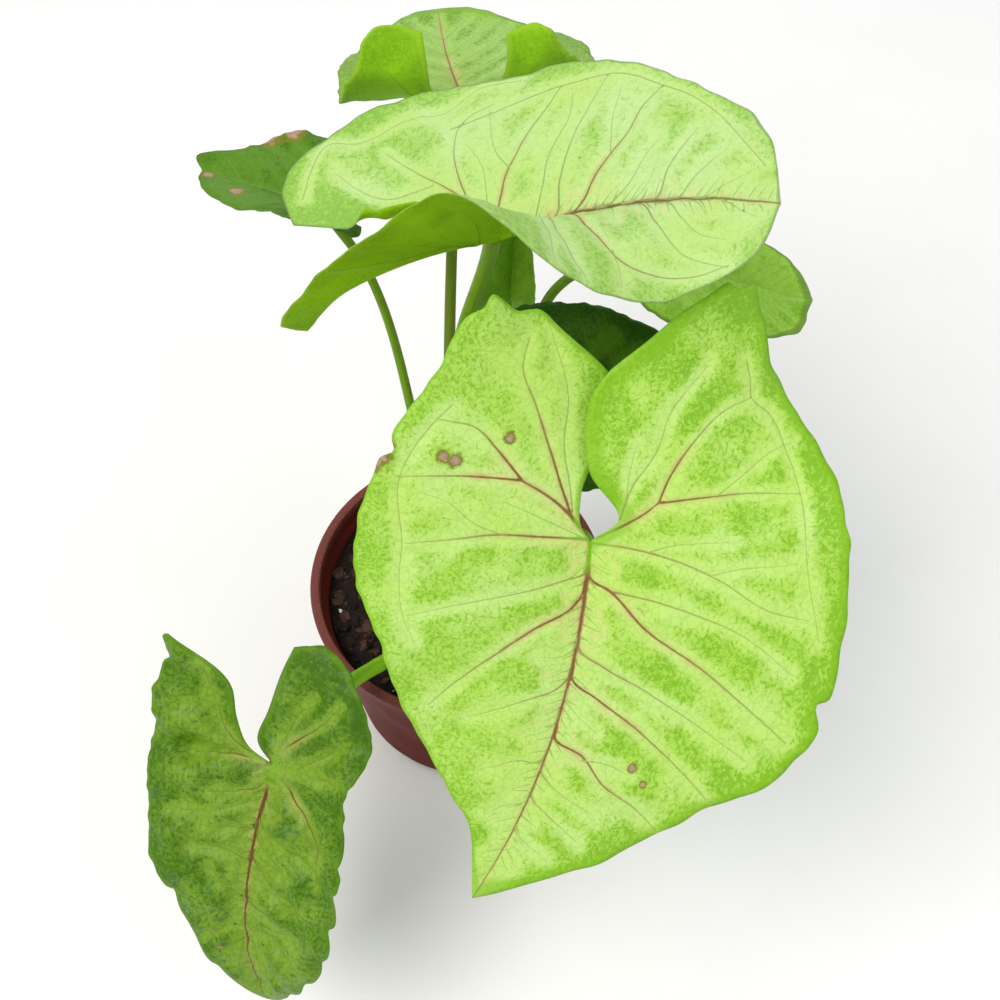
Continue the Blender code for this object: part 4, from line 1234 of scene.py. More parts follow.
@dataclass
class LeafBlade:
    """One blade as a fine closed mesh: veins sunk in its upper face and standing proud below.

    step is the spacing of its points and groove the depth of its veins. The midrib has lost the share
    rib_taper of its width at the tip, and a vein's width goes from the share vein_head to vein_tail.
    vein_room is how far veins stay from the outline, and beside_room how far other points stay from both.
    """

    leaf: Leaf
    step: float = 1.05
    thickness: float = 0.42
    groove: float = 0.22
    rib_taper: float = 0.8
    vein_head: float = 1.1
    vein_tail: float = 0.55
    vein_room: float = 0.28
    beside_room: float = 0.24
    surface: BladeSurface = field(init=False)

    def __post_init__(self) -> None:
        """Set up the bent surface."""
        self.surface = BladeSurface(self.leaf)

    def hairs(self, half: Half) -> list[Vein]:
        """Draw short thin veins that leave the midrib between the main ones.

        Args:
            half: The half that they are on.

        Returns:
            The veins.
        """
        rng = random.Random(self.leaf.seed * 10 + round(half.end))
        made, along = [], 2.5
        while along < 0.93 * self.surface.length:
            reach = rng.uniform(2.0, 5.6)
            lean = rng.uniform(0.25, 0.75)
            path = ((along, 0.8), (along + 0.4 * lean * reach, 0.5 * reach), (along + lean * reach, reach))
            made.append(Vein(path, rng.uniform(0.3, 0.42), 1.0))
            along += rng.uniform(1.9, 4.2)
        return made

    def veins(self, half: Half) -> list[Vein]:
        """Gather the veins of a half: those listed with fine hairs, or an even set where none are.

        Args:
            half: The half.

        Returns:
            The veins.
        """
        if half.veins:
            curved = []
            for vein in half.veins:
                along, out = vein.path[0]
                start = ((along - 2.6, 0.34),) if out <= 0.6 and along > 6 else ()
                curved.append(Vein(start + vein.path, vein.width, vein.fade))
            return curved + self.hairs(half)
        made = []
        length = self.surface.length
        for k in range(5):
            start = length * (0.08 + 0.16 * k)
            reach = float(self.surface.radius(half, np.array([0.36 - 0.06 * k]))[0])
            angle = math.radians(62 - 5 * k)
            out = 0.72 * (reach - 0.4 * start)
            end = (start + out * math.cos(angle) + 4, out * math.sin(angle))
            middle = (start + 0.5 * out * math.cos(angle) - 1, 0.5 * out * math.sin(angle))
            made.append(Vein(((start, 0.5), middle, end), 0.5, 0.85))
        lobe = self.surface.edge(half, np.array([0.86]))[0] * 0.75
        made.append(Vein(((-0.5, 1.0), (0.45 * lobe[0], 0.6 * lobe[1]), tuple(lobe)), 0.6, 0.7))
        side = self.surface.edge(half, np.array([0.6]))[0] * 0.78
        made.append(Vein(((0.0, 1.0), (0.5 * side[0] + 1, 0.5 * side[1]), tuple(side)), 0.55, 0.8))
        return made

    def outline(self, half: Half) -> np.ndarray:
        """Draw the closed flat outline of a half: tip, outer edge, lobe end, sinus, junction, midrib.

        Args:
            half: The half.

        Returns:
            The outline's corners in order.
        """
        outer = spaced(self.surface.edge(half, np.linspace(0, 1, 900)), self.step)
        inner = spaced(self.surface.inner_edge(half), self.step)
        midrib = self.midrib(round(self.surface.rib_end / self.step))
        return np.concatenate([outer[:-1], inner[:-1], midrib[:-1]])

    def midrib(self, count: int) -> np.ndarray:
        """Flat points of the midrib, count steps long."""
        return np.stack([np.linspace(0, self.surface.rib_end, count + 1), np.zeros(count + 1)], -1)

    def beside(self, lines: list[tuple[Vein, np.ndarray]]) -> np.ndarray:
        """Set points just beside the veins and the midrib, which keep the veins' colour narrow.

        Args:
            lines: The veins and their lines.

        Returns:
            The flat points.
        """
        rows = []
        for vein, line in lines:
            heads = np.gradient(line, axis=0)
            heads /= np.linalg.norm(heads, axis=1)[:, None]
            sides = np.stack([-heads[:, 1], heads[:, 0]], -1)
            taper = np.linspace(self.vein_head, self.vein_tail, len(line))
            gap = np.maximum(self.vein_room, 0.65 * vein.width * taper)[:, None]
            rows += [line + gap * sides, line - gap * sides]
        end = self.surface.rib_end
        along = np.arange(0.5 * self.step, end, 0.9 * self.step)
        out = 0.65 * self.leaf.midrib_width * (1 - self.rib_taper * along / end) + 0.1
        rows.append(np.stack([along, out], -1))
        return np.concatenate(rows)

    def vein_lines(self, half: Half, loop: np.ndarray) -> list[tuple[Vein, np.ndarray]]:
        """Draw each vein as a fine line that stays clear of the outline.

        Args:
            half: The half.
            loop: Its outline.

        Returns:
            The veins that are left and their lines.
        """
        lines = []
        for vein in self.veins(half):
            marks = marks_along(np.array(vein.path, float))
            line = spaced(smooth_through(np.linspace(0, marks[-1], 80), marks, vein.path), self.step)
            gaps = segment_gaps(line, loop, np.roll(loop, -1, axis=0))
            line = line[inside_loop(line, loop) & (gaps.min(1) > self.vein_room)]
            if len(line) > 2:
                lines.append((vein, line))
        return lines

    def net(self, half: Half) -> tuple[np.ndarray, list, list[tuple[Vein, np.ndarray]], np.ndarray]:
        """Split a flat half into fine triangles whose edges follow its veins.

        Args:
            half: The half.

        Returns:
            The flat points, the triangles, the vein lines and the outline.
        """
        loop = self.outline(half)
        lines = self.vein_lines(half, loop)
        starts = np.concatenate([loop, *(line[:-1] for _, line in lines)])
        ends = np.concatenate([np.roll(loop, -1, axis=0), *(line[1:] for _, line in lines)])
        clear = []
        for spots, room in ((self.beside(lines), self.beside_room), (self.lattice(loop), 0.75 * self.step)):
            spots = spots[inside_loop(spots, loop)]
            clear += [part[segment_gaps(part, starts, ends).min(1) > room] for part in in_parts(spots)]
        points = [Vector(p) for p in loop]
        edges = []
        for _, line in lines:
            first = len(points)
            points += [Vector(p) for p in line]
            edges += [(first + k, first + k + 1) for k in range(len(line) - 1)]
        points += [Vector(p) for p in np.concatenate(clear)]
        result = delaunay_2d_cdt(points, edges, [list(range(len(loop)))], 1, SNAP)
        flat = np.array([tuple(p) for p in result[0]])
        return flat, [tuple(face) for face in result[2]], lines, loop

    def lattice(self, loop: np.ndarray) -> np.ndarray:
        """Set points in even triangles all over the box round an outline.

        Args:
            loop: The outline.

        Returns:
            The flat points.
        """
        low, high = loop.min(0), loop.max(0)
        row_step = self.step * math.sqrt(0.75)
        rows = []
        for k in range(int((high[1] - low[1]) / row_step) + 1):
            xs = np.arange(low[0] + (k % 2) * 0.5 * self.step, high[0], self.step)
            rows.append(np.stack([xs, np.full(len(xs), low[1] + k * row_step)], -1))
        return np.concatenate(rows)

    def vein_marks(self, flat: np.ndarray, lines: list[tuple[Vein, np.ndarray]]) -> np.ndarray:
        """Measure each point against the veins.

        Args:
            flat: The flat points.
            lines: The veins and their lines.

        Returns:
            Distance to the nearest vein in half widths, that vein's strength, and the distance itself.
        """
        rib = self.midrib(AXIS_STEPS)
        share = np.linspace(0, 1, AXIS_STEPS)
        starts, ends = [rib[:-1]], [rib[1:]]
        widths = [0.5 * self.leaf.midrib_width * (1 - self.rib_taper * share)]
        fades = [1 - 0.35 * share**2]
        for vein, line in lines:
            share = np.linspace(0, 1, len(line) - 1)
            starts.append(line[:-1])
            ends.append(line[1:])
            widths.append(0.5 * vein.width * (self.vein_head + (self.vein_tail - self.vein_head) * share))
            tone = min(1.0, max(0.25, (vein.width - 0.2) / 0.55))
            fades.append(tone * (1 - vein.fade * share**1.3))
        starts, ends = np.concatenate(starts), np.concatenate(ends)
        widths, fades = np.concatenate(widths), np.concatenate(fades)
        rows = []
        for part in in_parts(flat):
            gaps = segment_gaps(part, starts, ends)
            ratio = gaps / widths[None]
            best = ratio.argmin(1)
            rows.append(np.stack([ratio.min(1), fades[best], gaps.min(1)], -1))
        return np.concatenate(rows)

    def edge_marks(self, flat: np.ndarray, half: Half, loop: np.ndarray) -> np.ndarray:
        """Measure each point against the margin and the scars.

        Args:
            flat: The flat points.
            half: The half, for its scars.
            loop: The outline, whose midrib part doesn't count as margin.

        Returns:
            Distance to the margin, distance to the nearest scar in radii, and zero.
        """
        following = np.roll(loop, -1, axis=0)
        on_midrib = (np.abs(loop[:, 1]) + np.abs(following[:, 1]) < TINY) & (loop[:, 0] > -TINY)
        starts, ends = loop[~on_midrib], following[~on_midrib]
        gaps = np.concatenate([segment_gaps(part, starts, ends).min(1) for part in in_parts(flat)])
        scar = np.full(len(flat), FAR)
        for mark in half.scars:
            away = np.hypot(flat[:, 0] - mark.spot[0], flat[:, 1] - mark.spot[1]) / mark.radius
            scar = np.minimum(scar, away)
        return np.stack([gaps, scar, np.zeros(len(flat))], -1)

    def tones(self, flat: np.ndarray, half: Half) -> np.ndarray:
        """Work out how thickly each point is specked and how wide the green margin is there.

        Args:
            flat: The flat points.
            half: The half.

        Returns:
            Those two and zero, one row for each point.
        """
        place = np.clip(flat[:, 0], self.surface.places[0], self.surface.places[-1])
        calm = ease(np.abs(flat[:, 1]) / 14)
        specks = 1 + (self.surface.blended(half.specks, place) - 1) * calm
        by_sinus = ease(-flat[:, 0] / 4) * (1 - ease((flat[:, 1] - 14) / 10))
        by_tip = ease((flat[:, 0] - self.surface.length + 11) / 9)
        band = half.band * (1 + 0.7 * by_sinus + 1.4 * by_tip)
        return np.stack([specks, band, np.zeros(len(flat))], -1)

    def relief(self, flat: np.ndarray, veins: np.ndarray, edges: np.ndarray) -> np.ndarray:
        """Work out the blade's relief: puffed between its veins and sunk along them.

        Args:
            flat: The flat points of the whole blade.
            veins: Their vein marks.
            edges: Their edge marks.

        Returns:
            How far each point rises from the smooth surface.
        """
        quilt = self.leaf.finish.quilt
        calm = ease(edges[:, 0] / 6.0) * ease(np.hypot(flat[:, 0], flat[:, 1]) / 10.0)
        puff = quilt * (1 - np.exp(-((veins[:, 2] / 3.2) ** 2))) - 0.6 * quilt
        sunk = self.groove * np.exp(-((veins[:, 0] / 1.6) ** 2)) * veins[:, 1]
        lumps = [noise.noise(Vector((x / 7, y / 7, self.leaf.seed))) for x, y in flat]
        small = [noise.noise(Vector((x / 2.6, y / 2.6, 9 + self.leaf.seed))) for x, y in flat]
        lumpy = quilt * (0.9 * np.array(lumps) + 0.3 * np.array(small))
        return (puff + lumpy) * calm - sunk * ease(edges[:, 0] / 2.0)

    def build(self, looks: Looks) -> bpy.types.Object:
        """Build and dress the blade.

        Args:
            looks: The materials.

        Returns:
            The blade.
        """
        points, places, veins, edges, tones, rise, faces = [], [], [], [], [], [], []
        shared: dict[float, int] = {}
        for half, sign in ((self.leaf.left, 1), (self.leaf.right, -1)):
            flat, triangles, lines, loop = self.net(half)
            vein = self.vein_marks(flat, lines)
            edge = self.edge_marks(flat, half, loop)
            tone = self.tones(flat, half)
            bent = self.surface.bent(flat, half, sign)
            lift = self.relief(flat * np.array((1, sign)), vein, edge)
            number = []
            for k, (x, y) in enumerate(flat):
                key = round(float(x), 2) if abs(y) < SNAP and x > -SNAP else None
                if key is not None and key in shared:
                    number.append(shared[key])
                    continue
                if key is not None:
                    shared[key] = len(points)
                number.append(len(points))
                points.append(bent[k])
                places.append((x, sign * y, 0.0))
                veins.append(vein[k])
                edges.append(edge[k])
                tones.append(tone[k])
                rise.append(lift[k])
            for a, b, c in triangles:
                order = (a, b, c) if sign > 0 else (a, c, b)
                faces.append([number[i] for i in order])
        return self.closed(looks, *(np.array(v) for v in (points, places, veins, edges, tones, rise, faces)))

    def closed(self, looks: Looks, points: np.ndarray, places: np.ndarray, veins: np.ndarray,
               edges: np.ndarray, tones: np.ndarray, rise: np.ndarray, faces: np.ndarray) -> bpy.types.Object:
        """Close the sheet into a thin solid with a rim and write it.

        Args:
            looks: The materials.
            points: Points of the middle surface.
            places: Their flat places.
            veins: Their vein marks.
            edges: Their edge marks.
            tones: How they are specked and banded.
            rise: How far each rises from the surface.
            faces: The triangles.

        Returns:
            The blade.
        """
        points = points + point_normals(points, faces) * rise[:, None]
        normals = point_normals(points, faces)
        thin = self.thickness * (0.4 + 0.6 * ease(edges[:, 0]))
        rib = 0.5 * np.exp(-((veins[:, 0] / 1.3) ** 2)) * veins[:, 1] * ease(edges[:, 0] / 1.5)
        rib *= np.clip(1.3 - np.abs(places[:, 1]) / 14, 0.35, 1.0)
        top = points + normals * (0.5 * thin)[:, None]
        under = points - normals * (0.5 * thin + rib)[:, None]
        count = len(points)
        skin = [tuple(f) for f in faces] + [(count + c, count + b, count + a) for a, b, c in faces]
        slots = [Face.UPPER.value] * len(faces) + [Face.UNDER.value] * len(faces)
        for a, b in open_edges(faces):
            skin += [(b, a, count + a), (b, count + a, count + b)]
            slots += [Face.UPPER.value] * 2
        mats = [looks.blade(self.leaf, face) for face in Face]
        piece = write_piece("leaf_" + self.leaf.name, np.concatenate([top, under]), skin, mats, slots)
        for name, rows in zip(BLADE_MARKS, (places, veins, edges, tones)):
            store_vectors(piece, name, np.concatenate([rows, rows]))
        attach(piece, BODY)
        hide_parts("blade_" + self.leaf.name)
        return piece


def point_normals(points: np.ndarray, faces: np.ndarray) -> np.ndarray:
    """Work out the unit normals of a sheet's points, the larger faces counting more.

    Args:
        points: The points.
        faces: The triangles, as point numbers.

    Returns:
        The normals, one row each.
    """
    corners = points[faces]
    cross = np.cross(corners[:, 1] - corners[:, 0], corners[:, 2] - corners[:, 0])
    total = np.zeros_like(points)
    for k in range(3):
        np.add.at(total, faces[:, k], cross)
    return total / np.maximum(np.linalg.norm(total, axis=1), TINY**2)[:, None]


def open_edges(faces: np.ndarray) -> list[tuple[int, int]]:
    """Directed edges that belong to one face only: the rim of a sheet."""
    seen = {(int(f[k]), int(f[(k + 1) % 3])) for f in faces for k in range(3)}
    return sorted((a, b) for a, b in seen if (b, a) not in seen)


@dataclass
class LeafStalk:
    """A leaf stalk on the model's own course, with a grooved sheath below and a swollen top.

    Its foot stands in the mix's hole from hole_floor to free_height. sheath is the share of its length
    that the groove of the sheath takes up, and flare how much wider its top is.
    """

    leaf: Leaf
    rings: int = 90
    sides: int = 20
    hole_floor: float = 62.3
    free_height: float = 80.0
    sheath: float = 0.42
    flare: float = 0.3

    def course(self) -> tuple[np.ndarray, np.ndarray]:
        """Work out the way that the stalk takes.

        Returns:
            The centres of its rings, and its direction at the blade.
        """
        leaf, surface = self.leaf, BladeSurface(self.leaf)
        along, side, up = (np.array(axis) for axis in surface.frame)
        end = np.array(leaf.junction) + along * leaf.seat[0] + side * leaf.seat[1] - up * 0.35
        knots = np.array([(*leaf.foot, self.free_height), *leaf.course, end], float)
        marks = marks_along(knots)
        rates = np.gradient(knots, marks, axis=0)
        rates[0] = (0, 0, 1)
        last = up + 0.45 * along
        rates[-1] = last / np.linalg.norm(last)
        upper = joined(np.linspace(0, marks[-1], self.rings), marks, knots, rates)
        lower = np.array([(*leaf.foot, z) for z in np.linspace(self.hole_floor, self.free_height - 1, 8)])
        return np.concatenate([lower, upper]), rates[-1]

    def girth(self, share: np.ndarray) -> np.ndarray:
        """Work out the stalk's radius, with the flare at its top and two small swellings.

        Args:
            share: Shares of the stalk's free length.

        Returns:
            The radius at each share.
        """
        leaf = self.leaf
        radius = leaf.foot_radius + (leaf.top_radius - leaf.foot_radius) * np.sqrt(share)
        knots = sum(0.16 * np.exp(-(((share - s) / 0.012) ** 2)) for s in (0.1, 0.24 + 0.02 * leaf.seed))
        return radius + knots + self.flare * ease((share - 0.88) / 0.12)

    def build(self, looks: Looks) -> bpy.types.Object:
        """Build and dress the stalk.

        Args:
            looks: The materials.

        Returns:
            The stalk.
        """
        centres, last = self.course()
        free = len(centres) - self.rings
        share = np.clip((np.arange(len(centres)) - free) / (self.rings - 1), 0, 1)
        radius = self.girth(share)
        heads = np.gradient(centres, axis=0)
        heads[-1] = last
        heads /= np.linalg.norm(heads, axis=1)[:, None]
        up = np.array(BladeSurface(self.leaf).frame[2])
        side = Vector((1, 0, 0))
        angles = np.linspace(0, math.tau, self.sides, endpoint=False)
        cosines, sines = np.cos(angles), np.sin(angles)
        groove = np.exp(-(((angles - math.pi) / 0.22) ** 2))
        shoulder = np.exp(-(((np.abs(angles - math.pi) - 0.5) / 0.3) ** 2))
        verts, places = [], []
        lengths = marks_along(centres)
        for k, centre in enumerate(centres):
            head = Vector(heads[k])
            side = (side - head * side.dot(head)).normalized()
            other = np.array(head.cross(side))
            wrap = 1 - float(ease(np.array((share[k] - self.sheath) / 0.06)))
            shape = radius[k] * (1 + (0.1 * shoulder - 0.26 * groove) * (0.25 + 0.75 * wrap))
            ring = centre + shape[:, None] * (cosines[:, None] * np.array(side) + sines[:, None] * other)
            if k == len(centres) - 1:
                ring = ring - heads[k] * ((ring - centre) @ up / (heads[k] @ up))[:, None]
            verts.append(ring)
            places.append(np.stack([shape * cosines, shape * sines, np.full(self.sides, lengths[k])], -1))
        faces = []
        for k in range(len(centres) - 1):
            for j in range(self.sides):
                a, b = k * self.sides + j, k * self.sides + (j + 1) % self.sides
                faces.append((a, b, b + self.sides, a + self.sides))
        end = (len(centres) - 1) * self.sides
        faces += [tuple(reversed(range(self.sides))), tuple(range(end, end + self.sides))]
        mats = [looks.stalk(self.leaf)]
        piece = write_piece("petiole_" + self.leaf.name, np.concatenate(verts), faces, mats)
        rows = np.concatenate(places)
        rows[:, 2] += self.hole_floor
        store_vectors(piece, "stalk_place", rows)
        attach(piece, BODY)
        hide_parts("stalk_" + self.leaf.name)
        return piece


@dataclass
class NurseryPot:
    """The tapered pot: collar, rounded lip, foot and drain holes.

    Its floor is a turned ring with a flat disc in the middle, which has the drain holes in it.
    """

    height: float = 86.0
    rim_radius: float = 50.0
    rim_width: float = 3.2
    collar: float = 9.0
    collar_step: float = 1.4
    top_radius: float = 47.6
    foot_radius: float = 40.5
    foot_height: float = 7.0
    foot_step: float = 1.2
    wall: float = 1.8
    floor: float = 2.5
    floor_round: float = 1.5
    drains: int = 6
    drain_radius: float = 4.0
    drain_ring: float = 24.0
    drain_sides: int = 24
    disc_radius: float = 32.0
    lip: float = 0.8
    lip_steps: int = 5
    segments: int = 144
    crease: float = 38.0
    finish: PotFinish = PotFinish()

    def outer(self, height: float) -> float:
        """Outer radius of the tapered body at a height."""
        return self.foot_radius + (self.top_radius - self.foot_radius) * height / self.height

    def profile(self) -> list[Point]:
        """Draw the pot's section: from the underside's disc out, up, over the lip and down to the floor's.

        Returns:
            The radius and height of each corner.
        """
        low = self.height - self.collar
        foot = self.foot_radius - self.foot_step
        under = self.outer(low)
        body = [(self.disc_radius, 0.0), (foot - 0.8, 0.0), (foot - 0.25, 0.25), (foot, 0.8),
                (self.outer(self.foot_height) - self.foot_step, self.foot_height),
                (self.outer(self.foot_height) - 0.9, self.foot_height + 0.5),
                (self.outer(self.foot_height + 1), self.foot_height + 1.0)]
        body += [(self.outer(height), height) for height in (24.0, 41.0, 58.0)]
        body += [(under, low - 1.2), (under + 0.35, low - 0.5), (under + self.collar_step - 0.3, low - 0.12),
                 (under + self.collar_step, low + 0.3)]
        inner = self.rim_radius - self.rim_width
        for centre, start in ((self.rim_radius - self.lip, 0), (inner + self.lip, 90)):
            for k in range(self.lip_steps + 1):
                turn = math.radians(start + 90 * k / self.lip_steps)
                height = self.height - self.lip + self.lip * math.sin(turn)
                body.append((centre + self.lip * math.cos(turn), height))
        well = self.outer(self.floor + self.floor_round) - self.wall - self.foot_step
        body += [(inner - 0.1, self.height - 4.0), (under - self.wall + 0.5, low + 0.6),
                 (under - self.wall, low), (well, self.floor + self.floor_round),
                 (well - 0.4, self.floor + 0.4), (well - self.floor_round, self.floor),
                 (self.disc_radius, self.floor)]
        return body

    def build(self, looks: Looks) -> bpy.types.Object:
        """Build and dress the pot.

        Args:
            looks: The materials.

        Returns:
            The pot.
        """
        angles = np.linspace(0, math.tau, self.segments, endpoint=False)
        circle = np.stack([np.cos(angles), np.sin(angles)], -1)
        profile = self.profile()
        verts = [np.concatenate([r * circle, np.full((self.segments, 1), z)], 1) for r, z in profile]
        faces = []
        for k in range(len(profile) - 1):
            for j in range(self.segments):
                nxt = (j + 1) % self.segments
                a, b = k * self.segments, (k + 1) * self.segments
                faces.append((a + j, a + nxt, b + nxt, b + j))
        disc, triangles, holes = self.disc(circle)
        start = len(profile) * self.segments
        inside = len(disc) - self.segments
        for height in (0.0, self.floor):
            verts.append(np.concatenate([disc[self.segments:], np.full((inside, 1), height)], 1))
        low = [*range(self.segments), *range(start, start + inside)]
        top_ring = (len(profile) - 1) * self.segments
        high = [*range(top_ring, top_ring + self.segments), *range(start + inside, start + 2 * inside)]
        for a, b, c in triangles:
            faces += [(low[c], low[b], low[a]), (high[a], high[b], high[c])]
        for hole in holes:
            for a, b in zip(hole, hole[1:] + hole[:1]):
                faces.append((low[a], low[b], high[b], high[a]))
        piece = write_piece("nursery_pot", np.concatenate(verts), faces, [looks.pot(self.finish)])
        tidy_normals(piece)
        mark_creases(piece, self.crease)
        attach(piece, BODY)
        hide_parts("pot")
        return piece

    def disc(self, circle: np.ndarray) -> tuple[np.ndarray, list, list[list[int]]]:
        """Split the middle of the floor, with its drain holes, into triangles.

        Args:
            circle: A unit circle with one point for each segment.

        Returns:
            The flat points, the outer ring first, the triangles, and each hole's ring of points.
        """
        points = [Vector(p) for p in circle * self.disc_radius]
        sides = self.drain_sides
        rings = []
        for k in range(self.drains):
            angle = math.tau * k / self.drains
            centre = Vector((self.drain_ring * math.cos(angle), self.drain_ring * math.sin(angle)))
            rings.append(list(range(len(points), len(points) + sides)))
            points += [centre + self.drain_radius * Vector((math.cos(t), math.sin(t)))
                       for t in np.linspace(0, math.tau, sides, endpoint=False)]
        outer = list(range(self.segments))
        edges = [(ring[j], ring[(j + 1) % sides]) for ring in rings for j in range(sides)]
        result = delaunay_2d_cdt(points, edges, [outer], 1, TINY)
        flat = np.array([tuple(p) for p in result[0]])
        centres = np.array([flat[ring].mean(0) for ring in rings])
        triangles = []
        for face in result[2]:
            middle = flat[list(face)].mean(0)
            if np.linalg.norm(centres - middle, axis=1).min() > self.drain_radius * 0.985:
                triangles.append(tuple(face))
        return flat, triangles, rings


def tidy_normals(piece: bpy.types.Object) -> None:
    """Turn all faces of a closed piece outwards.

    Args:
        piece: The piece.
    """
    shape = bmesh.new()
    shape.from_mesh(piece.data)
    bmesh.ops.recalc_face_normals(shape, faces=shape.faces)
    shape.to_mesh(piece.data)
    shape.free()


def mark_creases(piece: bpy.types.Object, angle: float) -> None:
    """Keep edges sharper than an angle crisp in smooth shading."""
    piece.data.set_sharp_from_angle(angle=math.radians(angle))


@dataclass
class PottingMix:
    """The potting mix: a lumpy plug, bark chips, crumbs and perlite grains.

    top is the height of its surface, which swells broadly, is lumpy all over and slopes down by shore
    near the wall. Its skirt gives the radius and height of each ring of the plug below the surface.
    step is the spacing of the surface's points. Nothing loose lies nearer to a stalk than clearance.
    """

    top: float = 76.0
    radius: float = 44.6
    swell: float = 0.6
    lumps: float = 0.9
    shore: float = 0.35
    skirt: tuple[Point, ...] = ((44.5, 66.0), (38.0, 4.8), (36.0, 2.8))
    step: float = 0.9
    clearance: float = 1.4
    seed: int = 5

    def height(self, x: float, y: float) -> float:
        """Work out the height of the mix's surface.

        Args:
            x: Place across.
            y: Place in depth.

        Returns:
            The height there.
        """
        broad = math.sin(0.31 * x + 1.3) * math.cos(0.27 * y - 0.4) + 0.6 * math.sin(0.62 * y + 0.5 * x)
        lumps = noise.noise(Vector((x / 5, y / 5, 3.0))) + 0.6 * noise.noise(Vector((x / 2.2, y / 2.2, 7.0)))
        fine = 0.35 * noise.noise(Vector((x, y, 1.0)))
        outside = max(0.0, math.hypot(x, y) - 0.93 * self.radius)
        return self.top + self.swell * broad + self.lumps * (lumps + fine) - self.shore * outside

    def build(self, looks: Looks) -> list[bpy.types.Object]:
        """Build and dress the mix and what lies on it.

        Args:
            looks: The materials.

        Returns:
            The pieces.
        """
        soil, bark, white = (looks.crumbs(finish) for finish in (SOIL, BARK, PERLITE))
        plug = self.plug(soil)
        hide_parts("soil")
        pieces = [
            plug,
            self.scattered("bark_chips", bark, 260, (0.9, 3.4), 0.36),
            self.scattered("peat_crumbs", soil, 620, (0.6, 1.9), 0.8),
            self.scattered("perlite_grains", white, 46, (0.5, 1.5), 0.85),
        ]
        for piece in pieces:
            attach(piece, BODY)
        return pieces

    def plug(self, mat: bpy.types.Material) -> bpy.types.Object:
        """Build the plug of mix as one closed body.

        Args:
            mat: Its material.

        Returns:
            The plug.
        """
        count = max(24, round(math.tau * self.radius / self.step))
        rings = round(self.radius / self.step)
        verts = [(0.0, 0.0, self.height(0, 0))]
        rows = []
        for k in range(1, rings + 1):
            ring = self.radius * k / rings
            number = max(8, round(count * k / rings)) if k < rings else count
            rows.append(list(range(len(verts), len(verts) + number)))
            for j in range(number):
                angle = math.tau * j / number
                x, y = ring * math.cos(angle), ring * math.sin(angle)
                verts.append((x, y, self.height(x, y)))
        flat = [Vector((x, y)) for x, y, _ in verts]
        faces = [tuple(f) for f in delaunay_2d_cdt(flat, [], [rows[-1]], 1, TINY)[2]]
        ring = rows[-1]
        for radius, height in self.skirt:
            below = list(range(len(verts), len(verts) + count))
            for j in range(count):
                angle = math.tau * j / count
                verts.append((radius * math.cos(angle), radius * math.sin(angle), height))
            for j in range(count):
                following = (j + 1) % count
                faces.append((ring[j], below[j], below[following], ring[following]))
            ring = below
        faces.append(tuple(ring))
        piece = write_piece("potting_mix", np.array(verts), faces, [mat])
        tidy_normals(piece)
        return piece

    def scattered(self, name: str, mat: bpy.types.Material, count: int, sizes: Point,
                  flat: float) -> bpy.types.Object:
        """Scatter small uneven bits over the mix.

        Args:
            name: The piece's name.
            mat: Its material.
            count: How many bits.
            sizes: The smallest and the largest bit.
            flat: How thick a bit is, as a share of its width.

        Returns:
            All the bits as one piece.
        """
        rng = random.Random(self.seed * 100 + count)
        seedling = bmesh.new()
        bmesh.ops.create_icosphere(seedling, subdivisions=1, radius=1.0)
        base = [v.co.copy() for v in seedling.verts]
        base_faces = [[v.index for v in f.verts] for f in seedling.faces]
        seedling.free()
        verts, faces = [], []
        while len(faces) < count * len(base_faces):
            reach, angle = (self.radius - 1.6) * math.sqrt(rng.random()), rng.random() * math.tau
            x, y = reach * math.cos(angle), reach * math.sin(angle)
            if any(math.dist((x, y), leaf.foot) < leaf.foot_radius + self.clearance for leaf in LEAVES):
                continue
            size = sizes[0] + (sizes[1] - sizes[0]) * rng.random() ** 2.2
            long = size * rng.uniform(0.5, 1.0)
            turn = Matrix.Rotation(rng.random() * math.tau, 3, "Z")
            turn = turn @ Matrix.Rotation(rng.gauss(0, 0.45), 3, "X")
            turn = turn @ Matrix.Rotation(rng.gauss(0, 0.35), 3, "Y")
            start = len(verts)
            for corner in base:
                rough = rng.uniform(0.72, 1.15)
                spot = turn @ Vector((corner.x * size, corner.y * long, corner.z * size * flat)) * rough
                verts.append((x + spot.x, y + spot.y, self.height(x, y) + 0.3 * size * flat + spot.z))
            faces += [[start + i for i in face] for face in base_faces]
        return write_piece(name, np.array(verts), faces, [mat], smooth=False)


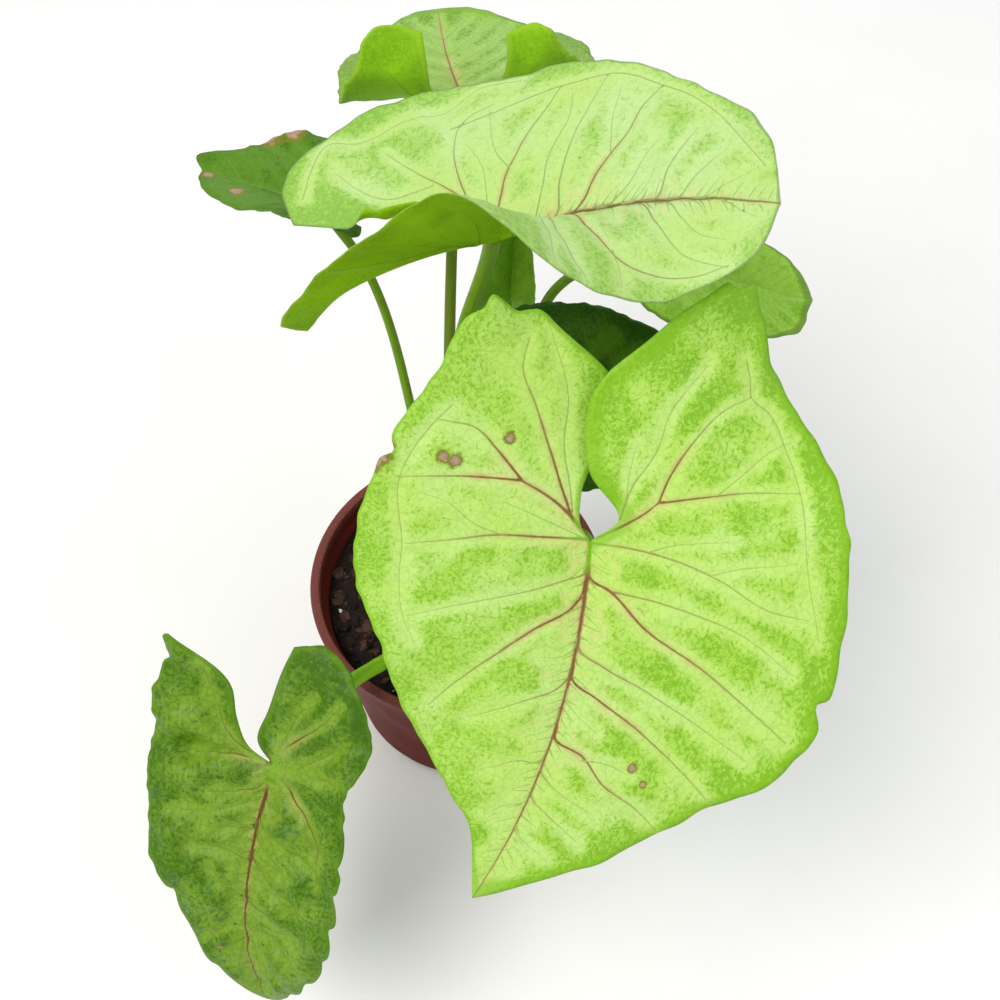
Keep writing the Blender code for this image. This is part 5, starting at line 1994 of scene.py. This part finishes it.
@dataclass
class Studio:
    """A plain pale floor, soft light and the camera."""

    camera_place: Place = (14.5, -192.0, 450.0)
    camera_tilt: float = 31.5
    half_view: float = 22.5
    sensor: float = 36.0
    floor_radius: float = 9000.0
    floor_height: float = -0.15
    aim: Place = (0.0, 0.0, 140.0)

    def build(self, looks: Looks) -> None:
        """Set the stage.

        Args:
            looks: The effects.
        """
        self.floor(looks)
        self.world()
        self.light("key_light", (-600, -420, 1400), 1000, 18.5, (255, 253, 248))
        self.light("fill_light", (900, -300, 1100), 1200, 5.0, (246, 250, 255))
        self.light("back_light", (100, 1100, 900), 900, 4.0, (250, 252, 255))
        self.camera()

    def floor(self, looks: Looks) -> None:
        """Lay a wide pale floor with a faint grain.

        Args:
            looks: The effects.
        """
        side = self.floor_radius
        corners = ((-side, -side), (side, -side), (side, side), (-side, side))
        verts = np.array([(x, y, self.floor_height) for x, y in corners])
        mat, wire, shader = new_material("floor_paper")
        grain = looks.grain.place(wire, Place=wire.position(), Breadth=30.0)
        colour = wire.mix(grain["Cloud"], (0.925, 0.925, 0.92, 1.0), (0.94, 0.94, 0.935, 1.0))
        wire.feed(shader, {"Base Color": colour, "Roughness": 0.9, "Specular IOR Level": 0.2})
        write_piece("floor", verts, [(0, 1, 2, 3)], [mat])

    def world(self) -> None:
        """Light everything a little from all round, most from near the horizon."""
        world = bpy.data.worlds.new("studio")
        world.use_nodes = True
        wire = Wiring(world.node_tree)
        height = wire.split(wire.node("ShaderNodeTexCoord").outputs["Generated"])[2]
        strength = wire.between(wire.step(height, 0.15, 0.6), 0.86, 0.26)
        wire.feed(world.node_tree.nodes["Background"], {"Color": (1.0, 1.0, 1.0, 1.0), "Strength": strength})
        bpy.context.scene.world = world
        bpy.context.scene.view_settings.view_transform = "Standard"
        paths = bpy.context.scene.cycles
        paths.max_bounces, paths.diffuse_bounces, paths.glossy_bounces = 3, 2, 1

    def light(self, name: str, place: Place, size: float, power: float, colour: Colour) -> None:
        """Hang one soft square light that looks at the plant.

        Args:
            name: Its name.
            place: Where it hangs.
            size: The length of its sides.
            power: Its power in watts.
            colour: Its colour.
        """
        lamp = bpy.data.lights.new(name, "AREA")
        lamp.size = size * MM
        lamp.energy = power
        lamp.color = linear(colour)[:3]
        thing = bpy.data.objects.new(name, lamp)
        thing.location = Vector(place) * MM
        towards = Vector(self.aim) * MM - thing.location
        thing.rotation_euler = towards.to_track_quat("-Z", "Y").to_euler()
        bpy.context.scene.collection.objects.link(thing)

    def camera(self) -> None:
        """Place the camera as the photograph was taken."""
        eye = bpy.data.cameras.new("camera")
        eye.sensor_width = self.sensor
        eye.lens = 0.5 * self.sensor / math.tan(math.radians(self.half_view))
        eye.clip_start = 0.01
        thing = bpy.data.objects.new("camera", eye)
        thing.location = Vector(self.camera_place) * MM
        thing.rotation_euler = (math.radians(self.camera_tilt), 0, 0)
        bpy.context.scene.collection.objects.link(thing)
        bpy.context.scene.camera = thing


def main() -> None:
    """Build every piece and report it."""
    logging.basicConfig(level=logging.INFO, format="%(message)s")
    looks = Looks()
    Studio().build(looks)
    NurseryPot().build(looks)
    PottingMix().build(looks)
    for leaf in LEAVES:
        LeafStalk(leaf).build(looks)
        LeafBlade(leaf).build(looks)
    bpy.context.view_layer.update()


if __name__ == "__main__":
    main()
